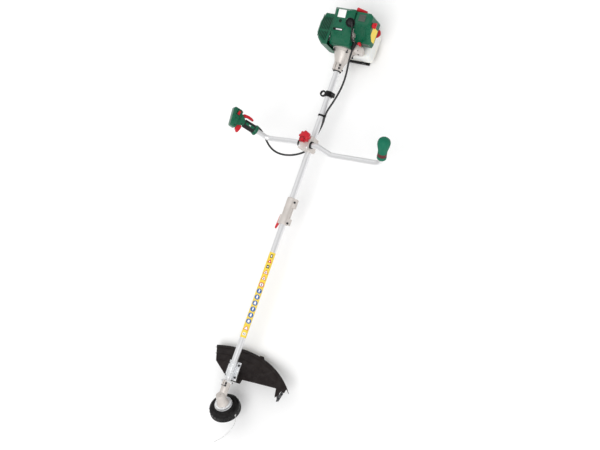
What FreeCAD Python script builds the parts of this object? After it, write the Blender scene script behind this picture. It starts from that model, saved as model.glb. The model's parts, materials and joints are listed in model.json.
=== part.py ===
import FreeCAD, Part
import math
import os
from FreeCAD import Vector as V

# Petrol string trimmer with a two-piece shaft and a cross handlebar.
# Millimetres. The model is laid out on the shaft: X runs along the tube's axis
# from the cutting head (-X) to the engine (+X), Z is up and -Y is the
# operator's left. x = 0 is the end of the clutch housing's collar.
# Every node is moved at the end so that the origin is the middle of the foot
# under the fuel tank, on the ground.

# ---------------------------------------------------------------- driving sizes
TUBE_R = 13.0                # shaft tube, outside radius
TUBE_WALL = 1.6
UPPER_TUBE_END = -642.0      # upper tube, end inside the coupling
LOWER_TUBE_TOP = -645.0      # lower tube, end inside the coupling
ELBOW_X = -1470.0            # where the tube's axis meets the output axis
OUTPUT_ANGLE = 60.0          # degrees from the tube's axis to the output axis
AXIS_HEIGHT = 148.0          # tube axis above the ground
FOOT_X = 164.0               # middle of the foot along the tube
BAR_R = 11.0                 # handlebar tube, outside radius
BAR_WALL = 1.6
BAR_X = -352.0               # handlebar's axis at its clamp
BAR_Z = 45.0
BAR_BEND = 36.0              # bend radius of the handlebar's centre line
DRIVE_R = 4.0                # drive shaft radius
FIT = 0.05                   # radial clearance of a running fit
GAP = 0.4                    # clearance between pieces of different bodies
HEAD_R = 65.5                # trimmer head drum
GUARD_REACH = 252.0          # guard's outer edge behind the output axis
GUARD_WALL = 3.0
LINE_R = 1.2                 # trimmer line radius
CABLE_R = 3.5                # control cable radius
PINION_TEETH = 14
GEAR_TEETH = 19
CONE_LENGTH = 20.0           # bevel pair: apex to the back of the teeth
FACE_WIDTH = 7.0
SHELL_WALL = 2.6             # moulded engine covers
SOCKET_END = ELBOW_X + 74.0  # gear case socket's mouth
COUPLING = (-702.0, -583.0)
BRACKET = (ELBOW_X + 86.0, ELBOW_X + 164.0)
CLIP_Y = -(TUBE_R + 4.6)     # cable beside the tube, held by its clip

X = V(1, 0, 0)
Y = V(0, 1, 0)
Z = V(0, 0, 1)
SHEET = 2.5                  # pressed plate of the guard bracket
PINION_SEAT = 26.5           # pinion's bearing, from the elbow
PARTS = {}


# ---------------------------------------------------------------- plain helpers
def cyl(radius, start, end):
    run = end - start
    return Part.makeCylinder(radius, run.Length, start, run)


def ring(outer, inner, start, end):
    over = (end - start).normalize() * 1.0
    return cyl(outer, start, end).cut(cyl(inner, start - over, end + over))


def xcyl(radius, x0, x1, y=0.0, z=0.0):
    return cyl(radius, V(x0, y, z), V(x1, y, z))


def xring(outer, inner, x0, x1, y=0.0, z=0.0):
    return ring(outer, inner, V(x0, y, z), V(x1, y, z))


def box(x0, x1, y0, y1, z0, z1):
    return Part.makeBox(x1 - x0, y1 - y0, z1 - z0, V(x0, y0, z0))


def soft_box(x0, x1, y0, y1, z0, z1, radius):
    block = box(x0, x1, y0, y1, z0, z1)
    return block.makeFillet(radius, block.Edges)


def prism(points, run):
    """Closed outline of points, pushed along a vector."""
    wire = Part.makePolygon(points + [points[0]])
    return Part.Face(wire).extrude(run)


def plan_xz(outline, y0, y1):
    return prism([V(x, y0, z) for x, z in outline], V(0, y1 - y0, 0))


def plan_xy(outline, z0, z1):
    return prism([V(x, y, z0) for x, y in outline], V(0, 0, z1 - z0))


def shrunk(outline, wall):
    """The outline moved inwards by a wall."""
    face = Part.Face(Part.makePolygon([V(a, b, 0) for a, b in outline + outline[:1]]))
    inner = face.makeOffset2D(-wall, join=2)
    return [(p.Point.x, p.Point.y) for p in inner.OuterWire.OrderedVertexes]


def turned(profile, base=V(0, 0, 0), axis=X):
    """Solid of revolution: profile points are (along the axis, radius)."""
    wire = Part.makePolygon([V(r, 0, a) for a, r in profile + profile[:1]])
    solid = Part.Face(wire).revolve(V(0, 0, 0), Z, 360)
    return placed(solid, base, axis)


def placed(shape, base, axis, across=None):
    """Moves a shape made about Z at the origin onto an axis at a base."""
    turn = FreeCAD.Rotation(Z, axis)
    if across is not None:
        side = axis.cross(across)
        turn = FreeCAD.Rotation(across, side, axis, "ZXY")
    moved = shape.copy()
    moved.Placement = FreeCAD.Placement(base, turn).multiply(moved.Placement)
    return moved


def joined(shapes):
    first, rest = shapes[0], shapes[1:]
    return first.fuse(rest).removeSplitter() if rest else first


def cut(shape, tools):
    return shape.cut(Part.makeCompound(tools))


def add(name, *shapes):
    solids = [s for shape in shapes for s in shape.Solids]
    PARTS[name] = solids[0] if len(solids) == 1 else Part.makeCompound(solids)


def screw(base, axis, radius, length, head_r, head_h):
    """A socket screw: its head stands on base, its shank goes against axis."""
    shank = cyl(radius, base - axis * length, base)
    head = cyl(head_r, base, base + axis * head_h)
    socket = cyl(head_r * 0.5, base + axis * head_h * 0.5, base + axis * (head_h + 1))
    return head.fuse(shank).cut(socket)


def rounded_path(points, radius=None):
    """Straight runs joined by tangent arcs; a cord's arcs are as large as fit."""
    edges = []
    radii = []
    at = points[0]
    for before, corner, after in zip(points, points[1:], points[2:]):
        into = (corner - before)
        out = (after - corner)
        turn = into.getAngle(out)
        shorter = min(into.Length, out.Length)
        bend = radius or 0.45 * shorter / math.tan(turn / 2)
        back = bend * math.tan(turn / 2)
        into.normalize()
        out.normalize()
        start = corner - into * back
        end = corner + out * back
        middle_dir = (out - into).normalize()
        centre = corner + middle_dir * (bend / math.cos(turn / 2))
        middle = centre - middle_dir * bend
        edges.append(Part.LineSegment(at, start).toShape())
        edges.append(Part.Arc(start, middle, end).toShape())
        radii.append(bend)
        at = end
    edges.append(Part.LineSegment(at, points[-1]).toShape())
    return Part.Wire(edges), radii


def swept(path, radius):
    first = path.OrderedVertexes[0].Point
    along = path.OrderedEdges[0].tangentAt(path.OrderedEdges[0].FirstParameter)
    circle = Part.Wire(Part.makeCircle(radius, first, along))
    return path.makePipeShell([circle], True, True)


def cord(name, points, radius, *others):
    path, radii = rounded_path(points)
    solid = swept(path, radius)
    ideal = math.pi * radius ** 2 * path.Length
    print(name, "length %.0f" % path.Length, "volume ratio %.4f" % (solid.Volume / ideal),
          "radii", [round(r) for r in radii])
    add(name, solid, *others)


# ---------------------------------------------------------------- shaft tubes
TUBE_IN = TUBE_R - TUBE_WALL
HOUSING_SEAT = 33.0          # how far the tube goes into the clutch housing
LOWER_TUBE_END = SOCKET_END - 27.0


def make_shaft():
    add("upper_tube", xring(TUBE_R, TUBE_IN, UPPER_TUBE_END, HOUSING_SEAT))
    add("lower_tube", xring(TUBE_R - FIT, TUBE_IN, LOWER_TUBE_END, LOWER_TUBE_TOP))
    bush_length = 14.0
    upper = [xring(TUBE_IN, DRIVE_R + FIT, x, x + bush_length) for x in (-560, -380, -200, -20)]
    first, last = LOWER_TUBE_END + 83, COUPLING[0] - 18
    lower_bushes = [first + (last - first) * k / 3 for k in range(4)]
    lower = [xring(TUBE_IN, DRIVE_R + FIT, x, x + bush_length) for x in lower_bushes]
    engine = [xring(14.0, CRANK_R + FIT, 128, 135.5), xring(14.0, CRANK_R + FIT, 172.5, 180),
              xring(15.0, 8.0 + FIT, 37, 53.5)]
    add("upper_bearings", *upper, *engine)
    # square end of the upper shaft in the socket of the lower one
    square = 3.0
    square_end = UPPER_TUBE_END - 16.0
    nose = box(square_end, UPPER_TUBE_END, -square, square, -square, square)
    add("upper_drive_shaft", joined([xcyl(DRIVE_R, UPPER_TUBE_END, 55.0), nose]))
    socket_top = UPPER_TUBE_END - 4.0
    socket_end = square_end - 12.0
    hole = square + 0.15
    sleeve = xcyl(7.0, socket_end, socket_top)
    sleeve = sleeve.cut(box(square_end - 2, socket_top + 1, -hole, hole, -hole, hole))
    shaft = xcyl(DRIVE_R, pinion_back(), socket_end + 1.0)
    pinion = bevel(PINION_TEETH, pinion_angle(), V(ELBOW_X, 0, 0), X, Z, 0.0)
    hub = xcyl(5.5, pinion_back() - 1.0, ELBOW_X + PINION_SEAT + 5.0)
    add("lower_drive_shaft", joined([shaft.cut(box(square_end - 2, 0, -4, 4, -4, 4)), sleeve, pinion, hub]))
    bearings = [xring(11.0, 5.5 + FIT, ELBOW_X + PINION_SEAT, ELBOW_X + PINION_SEAT + 4.5)]
    bearings += [ring(11.0, 4.5 + FIT, on_output(top), on_output(top - 6)) for top in (-9.0, -19.0)]
    add("lower_bearings", *lower, *bearings)


def pinion_back():
    return ELBOW_X + CONE_LENGTH * math.cos(pinion_angle())


def pinion_angle():
    """Half-angle of the pinion's pitch cone."""
    whole = math.radians(OUTPUT_ANGLE)
    ratio = GEAR_TEETH / PINION_TEETH
    return math.atan2(math.sin(whole), ratio + math.cos(whole))


def bevel(teeth, half_angle, apex, axis, across, offset):
    """Straight teeth that taper towards the apex. A tooth faces `across`
    when offset is 0 and a gap faces it when offset is 0.5."""
    pitch_r = CONE_LENGTH * math.sin(half_angle)
    depth = 2 * pitch_r / teeth
    outer = pitch_r + 0.85 * depth * math.cos(half_angle)
    inner = pitch_r - 1.1 * depth * math.cos(half_angle)
    step = 2 * math.pi / teeth
    corners = []
    for tooth in range(teeth):
        for share, radius in ((-0.30, inner), (-0.11, outer), (0.11, outer), (0.30, inner)):
            angle = (tooth + offset + share) * step
            corners.append((radius * math.cos(angle), radius * math.sin(angle)))
    far = CONE_LENGTH * math.cos(half_angle)
    scale = (CONE_LENGTH - FACE_WIDTH) / CONE_LENGTH
    wires = []
    for k in (scale, 1.0):
        points = [V(a * k, b * k, far * k) for a, b in corners]
        wires.append(Part.makePolygon(points + points[:1]))
    solid = Part.makeLoft(wires, True, True)
    return placed(solid, apex, axis, across)


# ---------------------------------------------------------------- output axis
TILT = math.radians(OUTPUT_ANGLE)
ELBOW = V(ELBOW_X, 0, 0)
N_UP = V(math.cos(TILT), 0, math.sin(TILT))
FORWARD = V(-math.sin(TILT), 0, math.cos(TILT))


def on_output(height, forward=0.0, left=0.0):
    """A point in the head's own frame: up its axis, forward and to the left (-Y)."""
    return ELBOW + N_UP * height + FORWARD * forward - Y * left


def head_turned(profile):
    return turned(profile, ELBOW, N_UP)


def make_gear_case():
    socket = xcyl(17.0, ELBOW_X + 8.0, SOCKET_END)
    barrel = cyl(20.0, on_output(-26), on_output(21))
    skirt = head_turned([(-26, 0), (-26, 30), (-22, 28), (-14, 20), (-14, 0)])
    web = prism([on_output(-22, -6), on_output(16, -6), on_output(26, -44), on_output(2, -40)], V(0, 8, 0))
    web.translate(V(0, -4, 0))
    ears = box(SOCKET_END - 24, SOCKET_END - 2, -7, 7, 12, CASE_BOLT_Z + 5.5)
    body = joined([socket, barrel, skirt, web, ears])
    tools = [
        xcyl(TUBE_R - FIT, LOWER_TUBE_END, SOCKET_END + 1),
        xcyl(11.0, ELBOW_X + 10, LOWER_TUBE_END + 1),
        cyl(15.5, on_output(-6), on_output(22)),
        cyl(17.3, on_output(21), on_output(34)),
        cyl(11.0, on_output(-27), on_output(-5)),
        box(SOCKET_END - 25, SOCKET_END + 1, -1, 1, 10, CASE_BOLT_Z + 6),
    ]
    tools += [cyl(2.55, V(x, -8, CASE_BOLT_Z), V(x, 8, CASE_BOLT_Z)) for x in case_bolts()]
    add("gear_case", cut(body, tools))
    cap = head_turned([(21, 0), (21, 17), (25, 17), (27, 14.5), (27, 0)])
    plug = head_turned([(26, 0), (26, 4.5), (30, 4.5), (30, 0)])
    add("gear_case_cap", joined([cap, plug]))


CASE_BOLT_Z = 21.5


def case_bolts():
    return (SOCKET_END - 18, SOCKET_END - 8)


def make_output():
    gear = bevel(GEAR_TEETH, TILT - pinion_angle(), ELBOW, N_UP, FORWARD * -1, 0.5)
    back = CONE_LENGTH * math.cos(TILT - pinion_angle())
    hub = cyl(8.0, on_output(back - 1), on_output(20))
    spindle = cyl(4.5, on_output(-70), on_output(20))
    add("bevel_gear", joined([gear, hub, spindle]))
    flange = head_turned([(-27, 4.5), (-27, 33), (-28, 36.5), (-32, 36.5), (-32, 31), (-34, 31),
                          (-34, 34), (-36.5, 34), (-36.5, 4.5)])
    add("head_flange", flange)
    cover = head_turned([(-36.5, 4.5), (-36.5, 38), (-39, 44), (-44, 46.5), (-44, 4.5)])
    add("head_cover", cover)


DRUM_TOP = -44.0
DRUM_BOTTOM = -79.0
DRUM_WALL = 3.0
KNOB_TOP = -81.5             # bump button; it can be knocked 5 mm into the drum
# the line's free end: height, forward, and how far left of the drum's rim
LINE_ROUTE = [(-61, 8, -9.5), (-62, 27, 6.5), (-62, 53, 18.5), (-61, 84, 21.5), (-60, 116, 15.5), (-59, 145, 1.5),
              (-58, 165, -12.5)]
LINE_POINTS = [(height, forward, HEAD_R + left) for height, forward, left in LINE_ROUTE]


def make_head():
    outer = [(DRUM_TOP, 4.5), (DRUM_TOP, 56), (-47, 60), (-50, 61), (-52, HEAD_R - 1.5),
             (-70, HEAD_R), (-75, HEAD_R - 2), (DRUM_BOTTOM, 60), (DRUM_BOTTOM, 40), (-76, 40),
             (-76, 58), (-71, HEAD_R - DRUM_WALL), (-53, HEAD_R - DRUM_WALL - 2), (-48, 55), (-48, 12),
             (-56, 12), (-56, 4.5)]
    drum = head_turned(outer)
    exits = []
    for turn in (0, 180):
        start = on_output(*LINE_POINTS[0])
        end = on_output(*LINE_POINTS[1])
        hole = cyl(3.0, start, end)
        hole.rotate(ELBOW, N_UP, turn)
        exits.append(hole)
    grips = []
    for turn in range(0, 360, 30):
        notch = cyl(5.0, on_output(DRUM_BOTTOM - 1, HEAD_R + 2.5, 0), on_output(-72, HEAD_R + 2.5, 0))
        notch.rotate(ELBOW, N_UP, turn + 5)
        grips.append(notch)
    add("head_drum", cut(drum, exits + grips))
    spool = head_turned([(-57, 4.5), (-57, 50), (-59, 50), (-59, 20), (-73, 20), (-73, 50), (-75, 50),
                         (-75, 9), (-66, 9), (-66, 4.5)])
    winding = head_turned([(-59.5, 20.5), (-59.5, 43), (-72.5, 43), (-72.5, 20.5)])
    add("spool", spool, winding)
    knob = head_turned([(KNOB_TOP, 0), (KNOB_TOP, 37), (-88, 37), (-93, 33), (-96, 22), (-97, 0)])
    flutes = []
    for turn in range(0, 360, 45):
        flute = cyl(6.0, on_output(-97, 39, 0), on_output(-80, 39, 0))
        flute.rotate(ELBOW, N_UP, turn)
        flutes.append(flute)
    add("bump_knob", cut(knob, flutes))
    cord("trimmer_line", [on_output(*p) for p in LINE_POINTS], LINE_R)


# ---------------------------------------------------------------- guard
# guard frame: a is back towards the engine, b is +Y and h is up the output axis
GUARD_TOP = 11.0             # height of the guard's top plate
GUARD_SKIRT = (GUARD_REACH * math.cos(TILT) - AXIS_HEIGHT) / math.sin(TILT)
GUARD_ARC = 413.0            # radius of the outer edge
ARC_CENTRE = (GUARD_REACH - GUARD_ARC, 39.0)
GUARD_FRONT = [(111, 55), (108, -14), (126, -196)]
GUARD_LEFT = -240.0          # b of the end that carries the cutter
GUARD_RIGHT = 170.0
PLATE_Z = -TUBE_R - 3.0      # underside of the bracket's lower plate
CUTTER_HOLES = (102.0, 126.0)
CUTTER_H = GUARD_SKIRT + 4.0
CUTTER_B = -215.0            # outer face of the wall that the cutter is screwed to


def guard_placed(solid):
    return placed(solid, ELBOW, N_UP, FORWARD * -1)


def guard_place(a, b, height):
    return on_output(height, -a, -b)


def guard_prism(outline, low, high):
    """Outline of (a, b) points between two heights."""
    return guard_placed(prism([V(a, b, low) for a, b in outline], V(0, 0, high - low)))


def guard_box(a0, a1, b0, b1, h0, h1):
    return guard_prism([(a0, b0), (a1, b0), (a1, b1), (a0, b1)], h0, h1)


def guard_disc(radius, low, high):
    """Round plate about the centre of the guard's outer edge."""
    disc = Part.makeCylinder(radius, high - low, V(ARC_CENTRE[0], ARC_CENTRE[1], low), Z)
    return guard_placed(disc)


def arc_a(b):
    """Where the outer edge is at a distance to the side."""
    return ARC_CENTRE[0] + math.sqrt(GUARD_ARC ** 2 - (b - ARC_CENTRE[1]) ** 2)


def make_guard():
    far = arc_a(0) + 60
    field = [(far, GUARD_RIGHT), (arc_a(GUARD_RIGHT), GUARD_RIGHT), (157, 127)] + GUARD_FRONT
    field += [(84, -214), (96, -222), (120, -224), (118, GUARD_LEFT), (far, GUARD_LEFT)]
    plate = guard_prism(field, GUARD_TOP - GUARD_WALL, GUARD_TOP).common(guard_disc(GUARD_ARC, -60, 60))
    edge = guard_disc(GUARD_ARC, GUARD_SKIRT, GUARD_TOP - 0.5)
    edge = edge.cut(guard_disc(GUARD_ARC - GUARD_WALL, GUARD_SKIRT - 1, GUARD_TOP))
    rim = edge.common(guard_prism(field, -60, 60))
    lip = GUARD_FRONT + [(a + GUARD_WALL, b) for a, b in reversed(GUARD_FRONT)]
    back = guard_prism(lip, GUARD_TOP - 14, GUARD_TOP - 1)
    cutter_wall = guard_box(92, arc_a(CUTTER_B) - 1, CUTTER_B, CUTTER_B + GUARD_WALL, GUARD_SKIRT - 8, GUARD_TOP - 1)
    ribs = [guard_box(114, arc_a(b) - 1, b, b + 2.4, GUARD_TOP - 13, GUARD_TOP - 1) for b in (-150, -80, 80)]
    # boss that rises to the bracket, parallel to the tube
    x0, x1 = BRACKET
    low_front = guard_place(84, 0, GUARD_TOP - GUARD_WALL)
    low_back = guard_place(160, 0, GUARD_TOP - GUARD_WALL)
    outline = [V(x0, 0, PLATE_Z), V(x1, 0, PLATE_Z), low_back, low_front]
    half = 29.0
    boss = prism([p - Y * half for p in outline], Y * 2 * half)
    inset = [V(x0 + 4, 0, PLATE_Z - 4), V(x1 - 4, 0, PLATE_Z - 4), low_back - X * 5 - N_UP * 4,
             low_front + X * 5 - N_UP * 4]
    hollow = prism([p - Y * (half - 3.5) for p in inset], Y * 2 * (half - 3.5))
    body = joined([plate, rim, back, boss, cutter_wall] + ribs)
    tools = [hollow]
    tools += [cyl(2.6, V(x, y, PLATE_Z - 30), V(x, y, PLATE_Z + 1)) for x, y in guard_bolts()]
    tools += [cyl(2.1, cutter_hole(a) - Y * 8, cutter_hole(a) + Y * 8) for a in CUTTER_HOLES]
    add("guard", cut(body, tools))
    # hooked cutter blade on the outer face of its wall
    outline = [(138, GUARD_SKIRT + 14), (138, GUARD_SKIRT - 14), (112, GUARD_SKIRT - 22), (80, GUARD_SKIRT - 30),
               (90, GUARD_SKIRT - 12), (92, GUARD_SKIRT + 14)]
    blade = guard_placed(prism([V(a, CUTTER_B, h) for a, h in outline], V(0, -2.0, 0)))
    add("line_cutter", cut(blade, [cyl(2.1, cutter_hole(a) - Y * 8, cutter_hole(a) + Y * 8) for a in CUTTER_HOLES]))
    # bracket: plate under the tube and a strap over it
    plate = box(x0, x1, -28, 28, PLATE_Z, PLATE_Z + SHEET)
    strap = xring(TUBE_R + SHEET, TUBE_R, x0 + 6, x1 - 6)
    strap = strap.common(box(x0, x1, -28, 28, PLATE_Z + SHEET, 30))
    wings = [box(x0 + 6, x1 - 6, side * 28 if side < 0 else 9.0, -9.0 if side < 0 else 28,
                 PLATE_Z + SHEET, PLATE_Z + 2 * SHEET) for side in (-1, 1)]
    strap = joined([strap] + wings).cut(xcyl(TUBE_R, x0, x1))
    holes = [cyl(2.6, V(x, y, PLATE_Z - 1), V(x, y, 0)) for x, y in guard_bolts()]
    add("guard_bracket", cut(plate, holes), cut(strap, holes))
    bolts = [screw(V(x, y, PLATE_Z + 2 * SHEET), Z, 2.5, 18, 4.6, 4.5) for x, y in guard_bolts()]
    bolts += [screw(V(x, -7, CASE_BOLT_Z), Y * -1, 2.5, 16, 4.2, 4.5) for x in case_bolts()]
    bolts += [screw(cutter_hole(a) - Y * 2.0, Y * -1, 2.0, 7, 3.8, 2.4) for a in CUTTER_HOLES]
    add("shaft_bolts", *bolts)


def guard_bolts():
    x0, x1 = BRACKET
    return [(x, y) for x in (x0 + 13, x1 - 13) for y in (-22, 22)]


def cutter_hole(a):
    return guard_place(a, CUTTER_B, CUTTER_H)


# ---------------------------------------------------------------- coupling and hangers
def make_coupling():
    x0, x1 = COUPLING
    body = turned([(x0, 0), (x0, 17), (x0 + 3, 19), (x1 - 3, 19), (x1, 17), (x1, 0)])
    ears = box(x0 + 2, x1 - 2, -30, -12, -9, 9)
    ears = ears.cut(box(x0 + 30, x1 - 42, -31, -20, -10, 10))
    saddle = box(x0, x0 + 40, 14, 24, -7, 7)
    body = joined([body, ears, saddle])
    tools = [
        xcyl(TUBE_R, x0 - 1, x1 + 1),
        box(x0 - 1, x1 + 1, -31, -12, -1, 1),
        box(x0 - 1, x0 + 41, 16.5, 26, -4.5, 4.5),
        cyl(1.5, V(x0 + 14, 21, -8), V(x0 + 14, 21, 8)),
    ]
    tools += [cyl(2.55, V(x, -25, -10), V(x, -25, 10)) for x in coupling_bolts()]
    tools.append(cyl(4.3, V(x0 + 30, 10, 0), V(x0 + 30, 20, 0)))
    pin = cyl(1.5, V(x0 + 14, 21, -7), V(x0 + 14, 21, 7))
    add("coupling_body", cut(body, tools), pin)
    # latch lever: pivots on a pin, its nose drops into the lower tube's hole
    lever = plan_xy([(x0 - 24, 27), (x0 - 22, 31), (x0 + 4, 29), (x0 + 38, 26), (x0 + 38, 18.5),
                     (x0 + 6, 18.5), (x0 - 6, 21)], -4.0, 4.0)
    nose = cyl(3.0, V(x0 + 30, TUBE_R + GAP, 0), V(x0 + 30, 20, 0))
    lever = joined([lever, nose]).cut(cyl(1.5 + 2 * FIT, V(x0 + 14, 21, -9), V(x0 + 14, 21, 9)))
    add("coupling_lever", lever)


def coupling_bolts():
    return (COUPLING[0] + 8.0, COUPLING[1] - 18.0)


HANGER_X = -108.0
HANGER_HOLE_R = 8.0
EYE_Y = TUBE_R + 15.0         # middle of the harness eye
HANGER_BOLT_Y = -TUBE_R - 8.0
CLIPS = ((-206.0, CLIP_Y, 2.5),)


def make_hanger():
    band = xring(TUBE_R + 4, TUBE_R, HANGER_X - 12, HANGER_X + 12)
    eye = cyl(14.0, V(HANGER_X, EYE_Y, -4), V(HANGER_X, EYE_Y, 4))
    neck = box(HANGER_X - 9, HANGER_X + 9, TUBE_R + 1, EYE_Y - 4, -4, 4)
    ears = box(HANGER_X - 9, HANGER_X + 9, HANGER_BOLT_Y - 5, -TUBE_R - 1, -8, 8)
    body = joined([band, eye, neck, ears])
    tools = [
        xcyl(TUBE_R, HANGER_X - 20, HANGER_X + 20),
        cyl(HANGER_HOLE_R, V(HANGER_X, EYE_Y, -6), V(HANGER_X, EYE_Y, 6)),
        box(HANGER_X - 13, HANGER_X + 13, HANGER_BOLT_Y - 6, -10, -1, 1),
        cyl(2.55, V(HANGER_X, HANGER_BOLT_Y, -9), V(HANGER_X, HANGER_BOLT_Y, 9)),
    ]
    add("harness_hanger", cut(body, tools))
    clips = []
    for x, y, z in CLIPS:
        band = xring(TUBE_R + 1.6, TUBE_R, x - 4, x + 4)
        loop = xring(CABLE_R + 2.8, CABLE_R + 1.2, x - 4, x + 4, y, z)
        loop = loop.cut(xcyl(TUBE_R + 1.0, x - 5, x + 5))
        clips.append(cut(joined([band, loop]), [xcyl(CABLE_R + 1.2, x - 5, x + 5, y, z)]))
    add("cable_clips", *clips)


# ---------------------------------------------------------------- handlebar
BEND_RIGHT = V(-364, 188, BAR_Z)          # bend below the control handle
BEND_LEFT = V(-361, -362, BAR_Z)
HANDLE_DIR = V(30, 125, 140).normalize()
GRIP_DIR = V(81, -30, 98).normalize()
HANDLE_BAR_END = 128.0                    # bar's end past the bend, inside the handle
GRIP_BAR_END = 110.0
CLAMP_HALF = 25.0                         # half width of the handlebar clamp
STUD_X = BAR_X + 24.0


def make_handlebar():
    points = [BEND_RIGHT + HANDLE_DIR * HANDLE_BAR_END, BEND_RIGHT, V(BAR_X, 62, BAR_Z),
              V(BAR_X, -62, BAR_Z), V(-374, -132, BAR_Z), BEND_LEFT, BEND_LEFT + GRIP_DIR * GRIP_BAR_END]
    path, radii = rounded_path(points, BAR_BEND)
    add("handlebar", swept(path, BAR_R).cut(swept(path, BAR_R - BAR_WALL)))
    rings = []
    for side in (-1, 1):
        start = V(BAR_X, side * (CLAMP_HALF + GAP), BAR_Z)
        rings.append(ring(15.5, BAR_R, start, start + Y * side * 7))
    add("handlebar_rings", *rings)
    add("grip_collar", ring(19.5, 15.0, BEND_LEFT + GRIP_DIR * 42, BEND_LEFT + GRIP_DIR * 58))
    profile = [(30, BAR_R), (25, BAR_R + 2), (25, 16), (29, 19.5), (42, 20), (42, 15), (58, 15), (58, 19.5),
               (72, 20.5), (86, 24), (97, 26.5), (110, 27), (120, 24), (127, 17), (130, 8), (130, 0), (112, 0),
               (112, BAR_R)]
    add("left_grip", turned(profile, BEND_LEFT, GRIP_DIR))


def make_bracket():
    lower = box(BAR_X - 22, STUD_X + 14, -22, 22, -17, 16)
    upper = box(BAR_X - 24, STUD_X + 14, -CLAMP_HALF, CLAMP_HALF, 14, BAR_Z - 0.5)
    lower = lower.makeFillet(5, [e for e in lower.Edges if abs(e.CenterOfMass.z + 17) < 1])
    cap = box(BAR_X - 24, STUD_X + 14, -CLAMP_HALF, CLAMP_HALF, BAR_Z + 0.5, BAR_Z + 15)
    cap = cap.makeFillet(4, [e for e in cap.Edges if abs(e.CenterOfMass.z - BAR_Z - 15) < 1])
    bar = cyl(BAR_R + FIT, V(BAR_X, -40, BAR_Z), V(BAR_X, 40, BAR_Z))
    stud_hole = cyl(STUD_R + FIT, V(STUD_X, 0, 28), V(STUD_X, 0, BAR_Z + 20))
    tube = xcyl(TUBE_R, BAR_X - 40, STUD_X + 40)
    split = box(BAR_X - 23, STUD_X + 15, -23, 23, -0.75, 0.75)
    body = cut(joined([lower, upper]), [bar, stud_hole, tube, split])
    add("handlebar_bracket", body, cut(cap, [bar, stud_hole]))


STUD_R = 4.0
KNOB_BASE = BAR_Z + 15 + GAP


def make_star_knob():
    knob = turned([(0, 0), (0, 14), (3.3, 19.8), (22.7, 19.8), (25, 15), (26, 0)], V(STUD_X, 0, KNOB_BASE), Z)
    lobes = []
    for number in range(8):
        angle = number * math.pi / 4
        base = V(STUD_X + 19 * math.cos(angle), 19 * math.sin(angle), KNOB_BASE + 4)
        lobes.append(turned([(0, 0), (0, 4.6), (1.4, 6), (16.6, 6), (18, 4.6), (18, 0)], base, Z))
    stud = cyl(STUD_R, V(STUD_X, 0, 30), V(STUD_X, 0, KNOB_BASE + 2))
    add("star_knob", joined([knob, stud] + lobes))


# ---------------------------------------------------------------- control handle
def handle_frame():
    """Towards the trigger, across, and along the handle."""
    toward = (X * -1) + HANDLE_DIR * HANDLE_DIR.x
    toward.normalize()
    return toward, HANDLE_DIR.cross(toward), HANDLE_DIR


def on_handle(x, y, along):
    toward, across, axis = handle_frame()
    return BEND_RIGHT + toward * x + across * y + axis * along


def handle_placed(shape):
    return placed(shape, BEND_RIGHT, HANDLE_DIR, handle_frame()[0])


TRIGGER_PIVOT = (17.0, 146.0)     # towards the trigger, along the handle
LOCK_PIVOT = (-22.0, 142.0)


def handle_prism(outline, half):
    """Outline of (towards the trigger, along) points, half a width each way."""
    return prism([V(a, -half, s) for a, s in outline], V(0, 2 * half, 0))


def make_control_handle():
    base = turned([(56, BAR_R), (56, 17), (59, 22), (66, 23), (72, 20), (72, BAR_R)], V(0, 0, 0), Z)
    core = ring(14.5, BAR_R, V(0, 0, 71), V(0, 0, 132))
    neck = handle_prism([(-15, 129), (15, 129), (27, 150), (-27, 150)], 15.0)
    neck = neck.makeFillet(4, [e for e in neck.Edges if abs(e.BoundBox.ZLength) > 5])
    block = handle_prism([(-40, 152), (-40, 197), (42, 176), (42, 148)], 21.0)
    block = block.makeFillet(9, block.Edges)
    body = joined([core, neck, block, base])
    pins = [cyl(1.8, V(a, -12, s), V(a, 12, s)) for a, s in (TRIGGER_PIVOT, LOCK_PIVOT)]
    tools = [
        cyl(BAR_R, V(0, 0, 60), V(0, 0, HANDLE_BAR_END + 1)),
        box(8, 60, -6.5, 6.5, 124, 160),
        box(-60, -10, -6.5, 6.5, 132, 158),
        box(-35, -11, 15, 30, 160, 178),
        handle_prism([(-32, 160), (-32, 186), (34, 169), (34, 160)], 14.0),
        cyl(CABLE_R + 1.0, V(-17.5, 0, 55), V(-17.5, 0, 61)),
    ]
    body = joined([cut(body, tools)] + [pin for pin in pins])
    add("control_handle", handle_placed(body))
    sleeve = ring(18.0, 14.5, V(0, 0, 72.5), V(0, 0, 122))
    grooves = [ring(20, 17.2, V(0, 0, s), V(0, 0, s + 2)) for s in range(80, 118, 6)]
    add("handle_grip", handle_placed(cut(sleeve, grooves)))
    trigger = handle_prism([(12, 151), (22, 153), (50, 147), (58, 139), (54, 134), (34, 126), (19, 124),
                            (11, 140)], 5.5)
    trigger = trigger.cut(cyl(1.8 + FIT, V(TRIGGER_PIVOT[0], -7, TRIGGER_PIVOT[1]),
                              V(TRIGGER_PIVOT[0], 7, TRIGGER_PIVOT[1])))
    add("throttle_trigger", handle_placed(trigger))
    lever = handle_prism([(-17, 146), (-22, 149), (-31, 140), (-33, 112), (-30, 94), (-24, 94), (-25.5, 120),
                          (-18.5, 136)], 5.5)
    lever = lever.cut(cyl(1.8 + FIT, V(LOCK_PIVOT[0], -7, LOCK_PIVOT[1]), V(LOCK_PIVOT[0], 7, LOCK_PIVOT[1])))
    add("lock_lever", handle_placed(lever))
    switch = joined([box(-32, -14, 15.5, 20, 161, 171), box(-28, -18, 19, 25, 162, 170)])
    add("stop_switch", handle_placed(switch))


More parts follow.
